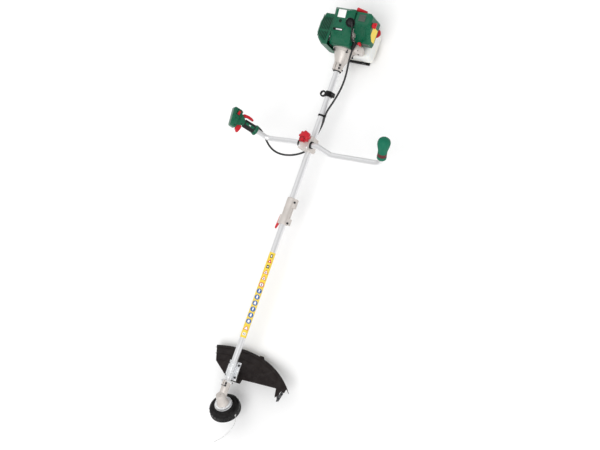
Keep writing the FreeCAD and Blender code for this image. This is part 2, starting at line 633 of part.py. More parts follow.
# ---------------------------------------------------------------- control cable
CABLE_POINTS = [(122, -57, 36), (98, -54, 33), (66, -51, 26), (34, -51, 18), (0, -53, 12), (-36, -54, 9),
                (-74, -51, 8), (-110, -44, 7), (-146, -33, 5), (-178, CLIP_Y - 3.4, 3), (-206, CLIP_Y, 2.5),
                (-230, CLIP_Y, -1), (-255, CLIP_Y + 4, -12), (-280, -1, -22), (-307, 9, -25), (-334, 8, -26)]
LOOP_POINTS = [(-334, 8, -26), (-360, 20, -25), (-384, 44, -16), (-403, 76, -4), (-412, 114, 8),
               (-408, 150, 16), (-391, 182, 20), (-368, 204, 28), (-350, 215, 46),
               (-341.5, 219.5, 67)]


def make_cable():
    first = V(*CABLE_POINTS[0])
    along = (V(*CABLE_POINTS[1]) - first).normalize()
    boot = turned([(-6, 0), (-6, 9), (2, 8), (26, 5), (26, CABLE_R + 0.1), (0, CABLE_R + 0.1), (0, 0)],
                  first, along)
    cord("control_cable", [V(*p) for p in CABLE_POINTS], CABLE_R, boot)
    entry = on_handle(-17.5, 0, 56.5)
    cord("cable_loop", [V(*p) for p in LOOP_POINTS] + [entry], CABLE_R)


# ---------------------------------------------------------------- engine
CYL_X = 154.0                # cylinder axis
PLUG_Z = 90.0
SHROUD = [(96, 30), (96, 60), (118, 92), (158, 108), (232, 123), (246, 107), (246, 30)]
SHROUD_Y = (-48.0, 44.0)
LEFT_CHAMFER = 22.0
RIGHT_CHAMFER = 14.0
MUFFLER_COVER = [(84, 47), (84, 76), (108, 100), (134, 113), (184, 114), (222, 102), (222, 47)]
MUFFLER_Z = (-22.0, 84.0)
FILTER = [(132, -8), (132, 30), (160, 64), (196, 90), (246, 92), (246, -8)]
FILTER_Y = (-126.0, -52.0)
FILTER_KNOB = (206.0, 64.0)
CRANK_R = 6.0
FAN_R = 50.0


def make_clutch():
    outer = [(0, TUBE_R), (0, 20), (2, 21.5), (22, 21.5), (25, 24), (60, 36.5), (84, 40.5), (94, 40.5),
             (94, 36.5), (84, 36.5), (60, 32.5), (56, 28), (54, 15), (36, 15), (36, 11), (HOUSING_SEAT, 11),
             (HOUSING_SEAT, TUBE_R)]
    shell = turned(outer)
    lugs = []
    holes = []
    for y, z in flange_places():
        lugs.append(xcyl(7.0, 84, 94, y, z).cut(xcyl(33, 80, 95)))
        holes.append(xcyl(2.55, 80, 95, y, z))
    ears = box(2, 30, -15, 15, 17, 28).cut(xcyl(20, -1, 40))
    slit = box(-1, 31, -1, 1, 10, 30)
    holes += [cyl(2.55, V(x, -16, 23.5), V(x, 16, 23.5)) for x in (9, 23)]
    add("clutch_housing", cut(joined([shell, ears] + lugs), holes + [slit]))
    drum = turned([(57, DRIVE_R), (57, 27), (86, 27), (86, 24.5), (60, 24.5), (60, 9), (57, 8), (36.5, 8),
                   (36.5, DRIVE_R)])
    add("clutch_drum", drum)
    shoes = turned([(66, 9), (66, 23.4), (84, 23.4), (84, 9)])
    shoes = shoes.cut(box(60, 90, -30, 30, -2.5, 2.5))
    add("clutch_shoes", shoes)


def flange_places():
    reach = 31.6
    return [(y, z) for y in (-reach, reach) for z in (-reach, reach)]


def make_crankcase():
    fan = xring(FAN_R, FAN_R - 5, 94.1, 124)
    front = xring(FAN_R, 39, 94.1, 97)
    back = xcyl(FAN_R, 124, 128)
    chamber = xcyl(33.0, 128, 180)
    deck = box(CYL_X - 26, CYL_X + 24, -26, 26, 20, 36)
    legs = [box(134, 174, y - 7, y + 7, TANK[5] + 0.05, -15) for y in (-24, 24)]
    posts = [xcyl(4.5, 178, 246.5, y, z) for y, z in starter_posts()]
    lugs = [xcyl(6.5, 94.1, 102.5, y, z) for y, z in flange_places()]
    body = joined([fan, front, back, chamber, deck] + legs + lugs)
    tools = [
        xcyl(27.0, 136, 172),
        xcyl(14.0, 120, 181),
        cyl(20.0, V(CYL_X, 0, 10), V(CYL_X, 0, 40)),
        xcyl(FAN_R - 5, 98, 124).cut(Part.makeCompound(lugs)),
    ]
    tools += [xcyl(2.0, 90, 102.6, y, z) for y, z in flange_places()]
    body = cut(body, tools)
    add("crankcase", joined([body] + posts).cut(xcyl(27.0, 136, 172)))


def starter_posts():
    return [(28, -6), (-20, -20), (0, 29)]


def make_crank():
    front = xcyl(CRANK_R, 62.5, 144)
    rear = xcyl(CRANK_R, 164, 214)
    webs = [turned([(a, 0), (a, 24), (a + 7, 24), (a + 7, 0)]) for a in (139, 162)]
    webs = [w.cut(box(130, 180, 14 * side if side > 0 else -30, 30 if side > 0 else -14, -2, 30))
            for w, side in zip(webs, (1, 1))]
    pin = xcyl(5.5, 140, 168, 0, 14)
    hub = xcyl(8.5, 64, 92)
    add("crankshaft", joined([front, rear, pin, hub] + webs))
    disc = turned([(96, CRANK_R), (96, 13), (104, 15), (104, 36), (110, 36), (112, CRANK_R)])
    blades = []
    for number in range(14):
        blade = box(103.5, 120, -1.2, 1.2, 24, 43)
        blade.rotate(V(0, 0, 0), X, number * 360 / 14)
        blades.append(blade)
    floor = turned([(109, 14), (109, 43), (112, 43), (112, 14)])
    add("flywheel", joined([disc, floor] + blades).cut(xcyl(FAN_R, 120, 125)))


def make_cylinder():
    barrel = cyl(22.0, V(CYL_X, 0, 36), V(CYL_X, 0, 88))
    sleeve = cyl(20.0, V(CYL_X, 0, 24), V(CYL_X, 0, 36.5))
    fins = [soft_fin(40 + 6.0 * k) for k in range(8)]
    head = cyl(15.0, V(CYL_X, 0, 86), V(CYL_X, 0, PLUG_Z))
    intake = box(CYL_X - 13, CYL_X + 13, -30.5, -18, 44, 66)
    exhaust = box(CYL_X - 14, CYL_X + 14, 18, 30.5, 44, 66)
    body = joined([barrel, sleeve, head, intake, exhaust] + fins)
    tools = [cyl(18.0, V(CYL_X, 0, 20), V(CYL_X, 0, 82)),
             cyl(5.0, V(CYL_X, 0, 80), V(CYL_X, 0, PLUG_Z + 1)),
             cyl(7.0, V(CYL_X, -32, 54), V(CYL_X, -10, 54)),
             cyl(8.0, V(CYL_X, 10, 54), V(CYL_X, 32, 54))]
    add("cylinder", cut(body, tools))
    piston = turned([(52, 0), (52, 18 - FIT), (79, 18 - FIT), (79, 0)], V(CYL_X, 0, 0), Z)
    hollow = cyl(14.0, V(CYL_X, 0, 50), V(CYL_X, 0, 73))
    add("piston", piston.cut(hollow))
    plug = turned([(82, 0), (82, 5), (PLUG_Z, 5), (PLUG_Z, 8.5), (PLUG_Z + 5, 8.5), (PLUG_Z + 5, 4.5),
                   (PLUG_Z + 8, 4), (PLUG_Z + 8, 0)], V(CYL_X, 0, 0), Z)
    add("spark_plug", plug)


def soft_fin(z):
    fin = box(CYL_X - 25, CYL_X + 27, -29, 29, z, z + 2.2)
    return fin.makeFillet(8, [e for e in fin.Edges if e.BoundBox.ZLength > 2])


BOOT_SEAT = V(190, -38, 99)
BOOT_DIR = V(0, -0.62, 0.78).normalize()


def boot_well():
    """The round space that the plug boot's cup stands in."""
    return cyl(20.5, BOOT_SEAT - BOOT_DIR * 14, BOOT_SEAT + BOOT_DIR * 40)


def chamfered_sides(block, right, left):
    """Bevels the long top edges of the shroud, by more on the operator's left."""
    for size, side in ((right, 1), (left, -1)):
        edges = [e for e in block.Edges if e.CenterOfMass.z > 80 and e.BoundBox.YLength < 1
                 and e.BoundBox.XLength > 20 and e.CenterOfMass.y * side > 30]
        block = block.makeChamfer(size, edges)
    return block


def make_shroud():
    y0, y1 = SHROUD_Y
    outer = plan_xz(SHROUD, y0, y1)
    outer = chamfered_sides(outer, RIGHT_CHAMFER, LEFT_CHAMFER)
    low_core = plan_xz([(99, 29), (99, 58), (120, 88), (159, 103), (235, 118), (243, 108), (243, 29)],
                       y0 + SHELL_WALL, y1 - SHELL_WALL)
    low_core = chamfered_sides(low_core, RIGHT_CHAMFER - 1, LEFT_CHAMFER - 1)
    mouth = xcyl(FAN_R + 2.5, 70, 130)
    carb = box(130, 180, -60, -40, 28, 72)
    port = box(134, 174, 40, 60, 36, 70)
    rear = box(240, 250, -36, 36, 20, 100)
    tools = [low_core, mouth, carb, port, rear, boot_well()]
    tools.append(cyl(3.2, V(186, 2, 100), V(186, 2, 130)))
    add("top_shroud", cut(outer, tools))
    cup = turned([(-12, 0), (-12, 20), (4, 20), (4, 17.5), (-9, 17.5), (-9, 0)], BOOT_SEAT, BOOT_DIR)
    cap = turned([(-8.6, 0), (-8.6, 14), (0, 15.5), (5, 12), (8, 6), (8.5, 0)], BOOT_SEAT, BOOT_DIR)
    add("plug_boot", joined([cup.common(cyl(60, BOOT_SEAT - BOOT_DIR * 20, BOOT_SEAT + BOOT_DIR * 20)), cap,
                             cyl(4, BOOT_SEAT - BOOT_DIR * 9.5, BOOT_SEAT)]))


def make_muffler():
    z0, z1 = MUFFLER_Z
    outer = plan_xy(MUFFLER_COVER, z0, z1)
    outer = outer.makeChamfer(7, [e for e in outer.Edges if e.BoundBox.ZLength < 1 and e.CenterOfMass.y > 80])
    hollow = [(87, 46), (87, 74.8), (110, 97.6), (134.6, 110), (183.6, 111), (219, 99.8), (219, 46)]
    inner = plan_xy(hollow, z0 + SHELL_WALL, z1 - SHELL_WALL)
    inner = inner.makeChamfer(6, [e for e in inner.Edges if e.BoundBox.ZLength < 1 and e.CenterOfMass.y > 80])
    slots = []
    for k in range(9):
        z = -6 + 9.0 * k
        slots.append(plan_xy([(92, 60), (92, 130), (127, 130), (127, 92)], z, z + 4))
        slots.append(plan_xy([(144, 90), (144, 130), (212, 130), (212, 80)], z, z + 4))
    add("muffler_cover", cut(outer, [inner] + slots))
    box_part = soft_box(122, 206, 50, 84, -4, 68, 8)
    flange = box(CYL_X - 16, CYL_X + 16, 30.6, 51, 42, 68)
    pipe = xcyl(6, 104, 124, 62, 10)
    bore = cyl(8.0, V(CYL_X, 29, 54), V(CYL_X, 60, 54))
    add("muffler", cut(joined([box_part, flange, pipe]), [bore, xcyl(4, 100, 126, 62, 10)]))


def make_intake():
    body = box(CYL_X - 17, CYL_X + 17, -49, -30.6, 40, 68)
    body = body.cut(cyl(7.0, V(CYL_X, -70, 54), V(CYL_X, -20, 54)))
    y0, y1 = FILTER_Y
    plate = plan_xz(shrunk(FILTER, SHELL_WALL + 0.3), y1 - 4, y1 - 1)
    plate = plate.cut(cyl(7.0, V(CYL_X, -70, 54), V(CYL_X, -20, 54)))
    neck = ring(10.0, 7.0, V(CYL_X, y1 - 2, 54), V(CYL_X, -48, 54))
    stud_hole = cyl(3.0 + FIT, V(FILTER_KNOB[0], -70, FILTER_KNOB[1]), V(FILTER_KNOB[0], -20, FILTER_KNOB[1]))
    add("carburettor", cut(joined([body, plate, neck]), [stud_hole, boot_well()]))
    outer = plan_xz(FILTER, y0, y1)
    face_edges = [e for e in outer.Edges if abs(e.CenterOfMass.y - y0) < 0.5]
    outer = outer.makeChamfer(9, face_edges)
    core = plan_xz(shrunk(FILTER, SHELL_WALL), y0 + SHELL_WALL, y1 + 1)
    core_face = [e for e in core.Edges if abs(e.CenterOfMass.y - y0 - SHELL_WALL) < 0.5]
    core = core.makeChamfer(8, core_face)
    knob_hole = cyl(3.0 + FIT, V(FILTER_KNOB[0], y0 - 5, FILTER_KNOB[1]), V(FILTER_KNOB[0], y0 + 10, FILTER_KNOB[1]))
    vents = [box(208, 236, -80 - 9 * k, -76 - 9 * k, 86, 96) for k in range(3)]
    neck_way = cyl(10.3, V(CYL_X, y1 - 6, 54), V(CYL_X, y1 + 5, 54))
    add("filter_cover", cut(outer, [core, knob_hole, neck_way, boot_well()] + vents))
    foam = soft_box(164, 236, -112, -60, 4, 72, 6)
    foam_hole = cyl(3.6, V(FILTER_KNOB[0], -120, FILTER_KNOB[1]), V(FILTER_KNOB[0], -50, FILTER_KNOB[1]))
    corner = plan_xz([(150, 46), (150, 90), (204, 90)], -115, -58)
    add("filter_foam", cut(foam, [foam_hole, corner]))
    knob = turned([(0, 0), (0, 9), (3, 11.5), (11, 11), (13, 8), (13, 0)],
                  V(FILTER_KNOB[0], y0 - GAP, FILTER_KNOB[1]), Y * -1)
    wing = box(FILTER_KNOB[0] - 12, FILTER_KNOB[0] + 12, y0 - GAP - 17, y0 - GAP - 3, FILTER_KNOB[1] - 2.5,
               FILTER_KNOB[1] + 2.5)
    stud = cyl(3.0, V(FILTER_KNOB[0], y0 - 4, FILTER_KNOB[1]), V(FILTER_KNOB[0], y1 - 1.0, FILTER_KNOB[1]))
    add("filter_knob", joined([knob, wing, stud]))
    pivot = xcyl(2.5, 120, 131.5, CHOKE[0], CHOKE[1])
    arm = prism([V(122, CHOKE[0] - 4, CHOKE[1] - 4), V(122, CHOKE[0] - 9, CHOKE[1] + 20),
                 V(122, CHOKE[0] - 1, CHOKE[1] + 24), V(122, CHOKE[0] + 5, CHOKE[1] - 3)], V(5, 0, 0))
    pad = soft_box(118, 129, CHOKE[0] - 12, CHOKE[0] + 1, CHOKE[1] + 17, CHOKE[1] + 26, 2.5)
    add("choke_lever", joined([pivot, arm, pad, xcyl(6, 121, 128, CHOKE[0], CHOKE[1])]))


CHOKE = (-78.0, 25.0)
NECK_BASE = V(214, -76, -68)
NECK_DIR = V(0, -0.6, 0.8).normalize()
TANK = (98.0, 228.0, -94.0, 72.0, -118.0, -51.0)


def make_tank():
    x0, x1, y0, y1, z0, z1 = TANK
    outer = soft_box(x0, x1, y0, y1, z0, z1, 16)
    neck = cyl(15.0, NECK_BASE, NECK_BASE + NECK_DIR * 26)
    inner = soft_box(x0 + 3, x1 - 3, y0 + 3, y1 - 3, z0 + 3, z1 - 3, 13)
    body = joined([outer, neck])
    body = cut(body, [inner, cyl(12.0, NECK_BASE, NECK_BASE + NECK_DIR * 30)])
    add("fuel_tank", body)
    top = NECK_BASE + NECK_DIR * (26 + GAP)
    cap = turned([(0, 0), (0, 18), (2, 20), (12, 20), (14, 18), (14, 0)], top, NECK_DIR)
    plug = cyl(12.0 - FIT, top - NECK_DIR * 9, top + NECK_DIR)
    ribs = []
    for number in range(18):
        angle = number * math.pi / 9
        base = V(20.8 * math.cos(angle), 20.8 * math.sin(angle), -1)
        ribs.append(Part.makeCylinder(1.4, 16, base))
    cutters = placed(Part.makeCompound(ribs), top, NECK_DIR)
    add("fuel_cap", joined([cap, plug]).cut(cutters))
    ground = -AXIS_HEIGHT
    plate = soft_box(FOOT_X - 66, FOOT_X + 66, -62, 62, ground, ground + 10, 3)
    windows = [box(FOOT_X + a, FOOT_X + a + 34, -36, 36, ground - 1, ground + 12) for a in (-46, 12)]
    posts = [box(x - 7, x + 7, y - 7, y + 7, ground + 5, z0 - 0.05) for x in (FOOT_X - 44, FOOT_X + 44)
             for y in (-45, 45)]
    hoops = [cyl(4, V(FOOT_X - 60, y, ground + 6), V(FOOT_X - 74, y, -98)) for y in (-46, 46)]
    bar = cyl(4, V(FOOT_X - 74, -50, -98), V(FOOT_X - 74, 50, -98))
    add("tank_foot", joined([cut(plate, windows)] + posts + hoops + [bar]))


PULL_ARM = V(262, -14, 19)       # where the rope's arm leaves the dish
PULL_EXIT = V(262, -48, 56)
PULL_DIR = (PULL_EXIT - PULL_ARM).normalize()


def make_starter():
    dish = turned([(247, 0), (247, 50), (266, 50), (272, 44), (272, 0)])
    hollow = turned([(246, 0), (246, 46.5), (265, 46.5), (269, 42), (269, 0)])
    boss = xring(12, 8, 225, 270)
    arm = cyl(9.5, PULL_ARM, PULL_EXIT)
    spokes = [box(247, 251, -46, 46, -4, 4)]
    slots = []
    for number in range(12):
        slot = box(264, 275, -2.2, 2.2, 18, 38)
        slot.rotate(V(0, 0, 0), X, number * 30)
        slots.append(slot)
    body = joined([dish.cut(hollow), boss, arm.cut(xcyl(46.5, 240, 269))] + spokes)
    posts = [xcyl(4.6, 240, 251.5, y, z) for y, z in starter_posts()]
    rope_way = cyl(2.4, PULL_ARM + PULL_DIR * 20, PULL_EXIT + PULL_DIR * 2)
    add("starter_housing", cut(body, slots + posts + [xcyl(8, 220, 262), rope_way]))
    centre = PULL_EXIT + PULL_DIR * (GAP + 9)
    sideways = X.cross(PULL_DIR)
    grip = cyl(8.5, centre - sideways * 24, centre + sideways * 24)
    grip = grip.makeFillet(4, [grip.Edges[0], grip.Edges[2]])
    foot = cyl(7.0, PULL_EXIT + PULL_DIR * GAP, centre)
    add("starter_handle", joined([grip, foot]))


# ---------------------------------------------------------------- fasteners of the root
def make_bolts():
    bolts = []
    for y, z in flange_places():
        base = V(83.9, y, z)
        bolts.append(screw(base, X * -1, 2.0, 18, 3.9, 5))
    bolts += [screw(V(x, -15, 23.5), Y * -1, 2.5, 26, 4.4, 5) for x in (9, 23)]
    bolts.append(screw(V(HANGER_X, HANGER_BOLT_Y, 8), Z, 2.5, 16, 4.4, 4.5))
    bolts += [screw(V(x, -25, 9), Z, 2.5, 18, 4.4, 4.5) for x in coupling_bolts()]
    add("m5_bolts", *bolts)


def main():
    make_shaft()
    make_gear_case()
    make_output()
    make_head()
    make_guard()
    make_coupling()
    make_hanger()
    make_handlebar()
    make_bracket()
    make_star_knob()
    make_control_handle()
    make_cable()
    make_clutch()
    make_crankcase()
    make_crank()
    make_cylinder()
    make_shroud()
    make_muffler()
    make_intake()
    make_tank()
    make_starter()
    make_bolts()
    os.makedirs("parts", exist_ok=True)
    shift = V(-FOOT_X, 0, AXIS_HEIGHT)
    for name, shape in PARTS.items():
        moved = shape.copy()
        moved.translate(shift)
        if not moved.isValid():
            print("not valid:", name)
        print("%-20s solids %d volume %.0f" % (name, len(moved.Solids), moved.Volume))
        moved.exportStep("parts/%s.step" % name)
    print(len(PARTS), "nodes")


main()
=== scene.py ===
import bmesh
import bpy
import json
import math
from mathutils import Matrix, Vector


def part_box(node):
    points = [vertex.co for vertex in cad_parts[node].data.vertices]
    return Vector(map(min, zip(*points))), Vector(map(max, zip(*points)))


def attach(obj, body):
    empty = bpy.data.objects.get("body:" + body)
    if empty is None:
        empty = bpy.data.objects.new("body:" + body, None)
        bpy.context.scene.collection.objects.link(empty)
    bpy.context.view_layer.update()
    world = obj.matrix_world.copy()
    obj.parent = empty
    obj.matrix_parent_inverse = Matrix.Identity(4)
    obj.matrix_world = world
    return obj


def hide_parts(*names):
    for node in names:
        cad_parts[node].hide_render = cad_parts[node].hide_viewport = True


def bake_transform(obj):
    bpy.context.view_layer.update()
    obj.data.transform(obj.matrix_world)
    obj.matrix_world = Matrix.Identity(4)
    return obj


# Petrol string trimmer with a cross handlebar: looks and fittings round the CAD frame.
# Pieces are drawn in millimetres on the shaft, as the CAD is: x runs along the tube from
# the cutting head to the engine, z is up, -y is the operator's left, and x = 0 is the
# mouth of the clutch housing's collar. SHAFT and the other places carry them to metres.

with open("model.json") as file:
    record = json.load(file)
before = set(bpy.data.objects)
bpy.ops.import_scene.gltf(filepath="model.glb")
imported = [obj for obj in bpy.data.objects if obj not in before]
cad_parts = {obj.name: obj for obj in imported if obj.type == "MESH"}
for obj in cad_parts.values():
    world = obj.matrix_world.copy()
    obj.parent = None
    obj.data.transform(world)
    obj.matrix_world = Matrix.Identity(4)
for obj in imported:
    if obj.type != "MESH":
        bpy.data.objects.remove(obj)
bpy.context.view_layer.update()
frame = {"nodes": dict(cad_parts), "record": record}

MM = 0.001
UP = Vector((0, 0, 1))
TUBE_LOW, TUBE_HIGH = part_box("upper_tube")
TUBE_R = (TUBE_HIGH.z - TUBE_LOW.z) / 2 / MM
HOUSING_SEAT = 33.0                     # how far the tube goes into the clutch housing
COLLAR = Vector((TUBE_HIGH.x - HOUSING_SEAT * MM, 0, (TUBE_LOW.z + TUBE_HIGH.z) / 2))
TILT = math.radians(60)                 # from the tube to the head's axis
ELBOW_X = -1470.0                       # where the two axes meet
WELD = 0.001                            # points closer than this are one
ROUNDED_FROM = math.radians(20)         # an edge flatter than this stays as it is


# ---------------------------------------------------------------- places
def at(x, y, z):
    """A point on the shaft layout, in metres in the row frame."""
    return COLLAR + Vector((x, y, z)) * MM


def axes(origin, along, across):
    """Place of a piece: z goes along one direction and x lies towards another."""
    z = Vector(along).normalized()
    x = Vector(across)
    x = (x - z * x.dot(z)).normalized()
    turn = Matrix((x, z.cross(x), z)).transposed().to_4x4()
    return Matrix.Translation(origin) @ turn @ Matrix.Scale(MM, 4)


SHAFT = axes(COLLAR, (0, 0, 1), (1, 0, 0))
HEAD_UP = Vector((math.cos(TILT), 0, math.sin(TILT)))
HEAD = axes(at(ELBOW_X, 0, 0), HEAD_UP, (1, 0, 0))      # x is back towards the engine
HANDLE_DIR = Vector((30, 125, 140)).normalized()
HANDLE = axes(at(-364, 188, 45), HANDLE_DIR, (-1, 0, 0))
GRIP_DIR = Vector((81, -30, 98)).normalized()
GRIP = axes(at(-361, -362, 45), GRIP_DIR, (0, 0, 1))


# ---------------------------------------------------------------- camera
EYE, AIM = Vector((-1.488, -2.410, 4.353)), Vector((-0.864, -0.060, 0.148))
ROLL = math.radians(-57.65)
LENS, SENSOR = 69.63, 36.0              # both in millimetres
SHIFT = (0.0083, 0.0040)
FAR = 50.0


def make_camera():
    forward = (AIM - EYE).normalized()
    level = forward.cross(UP).normalized()
    upright = level.cross(forward)
    right = level * math.cos(ROLL) + upright * math.sin(ROLL)
    top = upright * math.cos(ROLL) - level * math.sin(ROLL)
    lens = bpy.data.cameras.new("camera")
    lens.lens = LENS
    lens.sensor_width = SENSOR
    lens.shift_x, lens.shift_y = SHIFT
    lens.clip_end = FAR
    camera = bpy.data.objects.new("camera", lens)
    turn = Matrix((right, top, -forward)).transposed().to_4x4()
    camera.matrix_world = Matrix.Translation(EYE) @ turn
    bpy.context.scene.collection.objects.link(camera)
    bpy.context.scene.camera = camera


# ---------------------------------------------------------------- cords
def spline(name, points, radius, sides=8):
    """A round line on one smooth curve through the space of its control points."""
    line = bpy.data.curves.new(name, "CURVE")
    line.dimensions = "3D"
    line.resolution_u = 12
    line.bevel_depth = radius * MM
    line.bevel_resolution = sides
    line.use_fill_caps = True
    run = line.splines.new("NURBS")
    run.points.add(len(points) - 1)
    for point, where in zip(run.points, points):
        point.co = (*where, 1.0)
    run.order_u = 3
    run.use_endpoint_u = True
    piece = bpy.data.objects.new(name, line)
    bpy.context.scene.collection.objects.link(piece)
    return piece


def as_mesh(piece, finish):
    """The curve's tube as a mesh object of the same name."""
    bpy.context.view_layer.update()
    shaped = piece.evaluated_get(bpy.context.evaluated_depsgraph_get())
    tube = bpy.data.meshes.new_from_object(shaped)
    name = piece.name
    bpy.data.objects.remove(piece)
    tube.name = name
    tube.materials.clear()
    tube.materials.append(finish)
    made = bpy.data.objects.new(name, tube)
    bpy.context.scene.collection.objects.link(made)
    return made


# the line's free end: height, forward and left on the head's axis
LINE_POINTS = [(-61, 8, 56), (-62, 27, 72), (-62, 53, 84), (-61, 84, 87), (-60, 116, 81),
               (-59, 145, 67), (-58, 165, 53)]
LINE_R = 1.2
CABLE_POINTS = [(122, -57, 36), (98, -54, 33), (66, -51, 26), (34, -51, 18), (0, -53, 12),
                (-36, -54, 9), (-74, -51, 8), (-110, -44, 7), (-146, -33, 5), (-178, -21, 3),
                (-206, -17.6, 1.0), (-228, -15.6, -8), (-252, -8, -17), (-280, 1, -22.5),
                (-307, 9, -25), (-334, 8, -26)]
LOOP_POINTS = [(-334, 8, -26), (-360, 20, -25), (-384, 44, -16), (-403, 76, -4), (-412, 114, 8),
               (-408, 150, 16), (-391, 182, 20), (-368, 204, 28), (-350, 215, 46),
               (-341.5, 219.5, 67)]
CABLE_R = 4.2
LOOP_END = HANDLE @ Vector((-17.5, 0, 56.5))            # where the loop enters the handle


def make_cutting_line(finish):
    route = [HEAD @ Vector((-forward, -left, height)) for height, forward, left in LINE_POINTS]
    line = spline("cutting_line", route, LINE_R, 4)
    line.data.materials.append(finish)
    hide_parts("trimmer_line")
    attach(line, "head")


def make_cables(finish, rubber):
    upper = as_mesh(spline("throttle_cable", [at(*p) for p in CABLE_POINTS], CABLE_R), finish)
    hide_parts("control_cable")
    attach(upper, "engine_shaft")
    route = [at(*p) for p in LOOP_POINTS] + [LOOP_END]
    loop = as_mesh(spline("throttle_cable_loop", route, CABLE_R), finish)
    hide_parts("cable_loop")
    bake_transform(loop)
    bm = bmesh.new()
    start = Vector(CABLE_POINTS[0])
    along = Vector(CABLE_POINTS[1]) - start
    rings = [(-6, 0), (-6, 9.2), (-3, 9.6), (0, 9.2)]
    for k in range(5):                  # bellows that get narrower along the cable
        step, less = 4.4 * k, 0.6 * k
        rings += [(1.5 + step, 7.4 - 0.55 * k), (2.6 + step, 8.4 - less), (4.6 + step, 8.2 - less)]
    rings += [(26, 5.0), (30, 4.3), (30, 0)]
    turned(bm, rings, facing(start, along), 32)
    solid("cable_boot", bm, rubber, "engine_shaft")


# ---------------------------------------------------------------- mesh helpers
def gathered(bm, part, place=None, soft=0.0, segments=2):
    """Rounds a part's sharper edges, carries it to its place and puts it with the rest."""
    if soft:
        sharp = [edge for edge in part.edges
                 if len(edge.link_faces) == 2 and edge.calc_face_angle(0) > ROUNDED_FROM]
        bmesh.ops.bevel(part, geom=sharp, offset=soft, segments=segments, profile=0.5,
                        affect="EDGES", material=-1, clamp_overlap=True)
    if place is not None:
        bmesh.ops.transform(part, matrix=place, verts=part.verts)
    carrier = bpy.data.meshes.new("carrier")
    part.to_mesh(carrier)
    part.free()
    bm.from_mesh(carrier)
    bpy.data.meshes.remove(carrier)


def turned(bm, profile, place=None, steps=48):
    """Spins an outline of (height, radius) points about z."""
    part = bmesh.new()
    points = [part.verts.new((radius, 0, height)) for height, radius in profile]
    pairs = list(zip(points, points[1:]))
    if profile[0][1] > 0 and profile[-1][1] > 0:
        pairs.append((points[-1], points[0]))
    edges = [part.edges.new(pair) for pair in pairs]
    bmesh.ops.spin(part, geom=points + edges, cent=(0, 0, 0), axis=(0, 0, 1), angle=2 * math.pi,
                   steps=steps, use_merge=True)
    bmesh.ops.remove_doubles(part, verts=part.verts, dist=WELD)
    gathered(bm, part, place)


def block(bm, low, high, soft=0.0, place=None, segments=2):
    """A box between two corners with its edges rounded."""
    part = bmesh.new()
    low, high = Vector(low), Vector(high)
    sizes = Matrix.Diagonal((*(high - low), 1))
    bmesh.ops.create_cube(part, size=1.0, matrix=Matrix.Translation((low + high) / 2) @ sizes)
    gathered(bm, part, place, soft, segments)


def slab(bm, corners, depth, soft=0.0, place=None, segments=2, along=None):
    """A flat sheet with these corners, thickened along its normal or the given way."""
    part = bmesh.new()
    corners = [Vector(c) for c in corners]
    normal = along or (corners[1] - corners[0]).cross(corners[2] - corners[1]).normalized()
    face = part.faces.new([part.verts.new(c) for c in corners])
    made = bmesh.ops.extrude_face_region(part, geom=[face])
    far = [g for g in made["geom"] if isinstance(g, bmesh.types.BMVert)]
    bmesh.ops.translate(part, vec=normal * depth, verts=far)
    gathered(bm, part, place, soft, segments)


def strip(first, last, y0, y1):
    """Corners of a sheet between two (x, z) points, from y0 to y1."""
    (x0, z0), (x1, z1) = first, last
    return [(x0, y0, z0), (x1, y0, z1), (x1, y1, z1), (x0, y1, z0)]


def ears(bm, along, out, height, soft, place=None):
    """Two blocks, one on each side of the tube, from their spans in x, y and z."""
    for side in (-1, 1):
        inner, outer = sorted(side * y for y in out)
        block(bm, (along[0], inner, height[0]), (along[1], outer, height[1]), soft, place)


def pushed(bm, outline, depth, soft=0.0, place=None, segments=2):
    """An outline of (x, y) points pushed along z."""
    slab(bm, [(x, y, 0) for x, y in outline], depth, soft, place, segments, UP)


def rod(bm, first, last, radius, end_radius=None, steps=24, place=None):
    """A round bar between two points, tapered when it has an end radius."""
    part = bmesh.new()
    first, last = Vector(first), Vector(last)
    turn = (last - first).to_track_quat("Z", "Y").to_matrix().to_4x4()
    middle = Matrix.Translation((first + last) / 2) @ turn
    bmesh.ops.create_cone(part, cap_ends=True, segments=steps, radius1=radius,
                          radius2=end_radius or radius, depth=(last - first).length, matrix=middle)
    gathered(bm, part, place)


UPRIGHT = Matrix.Rotation(math.pi / 2, 4, "X")          # an outline's y becomes height


def facing(origin, along, across=UP):
    """Place on the millimetre layout itself: z goes along, x lies towards the other."""
    return axes(Vector(origin), along, across) @ Matrix.Scale(1 / MM, 4)


ALONG_TUBE = facing((0, 0, 0), (1, 0, 0))


def solid(name, bm, finish, body, place=SHAFT, sharp=38, replaces=()):
    """The mesh as a piece, carried from its millimetres to its place, on a body."""
    bmesh.ops.remove_doubles(bm, verts=bm.verts, dist=WELD)
    bmesh.ops.recalc_face_normals(bm, faces=bm.faces)
    bmesh.ops.transform(bm, matrix=place, verts=bm.verts)
    for face in bm.faces:
        face.smooth = True
    mesh = bpy.data.meshes.new(name)
    bm.to_mesh(mesh)
    bm.free()
    mesh.set_sharp_from_angle(angle=math.radians(sharp))
    mesh.materials.append(finish)
    piece = bpy.data.objects.new(name, mesh)
    bpy.context.scene.collection.objects.link(piece)
    if replaces:
        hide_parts(*replaces)
    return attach(piece, body)


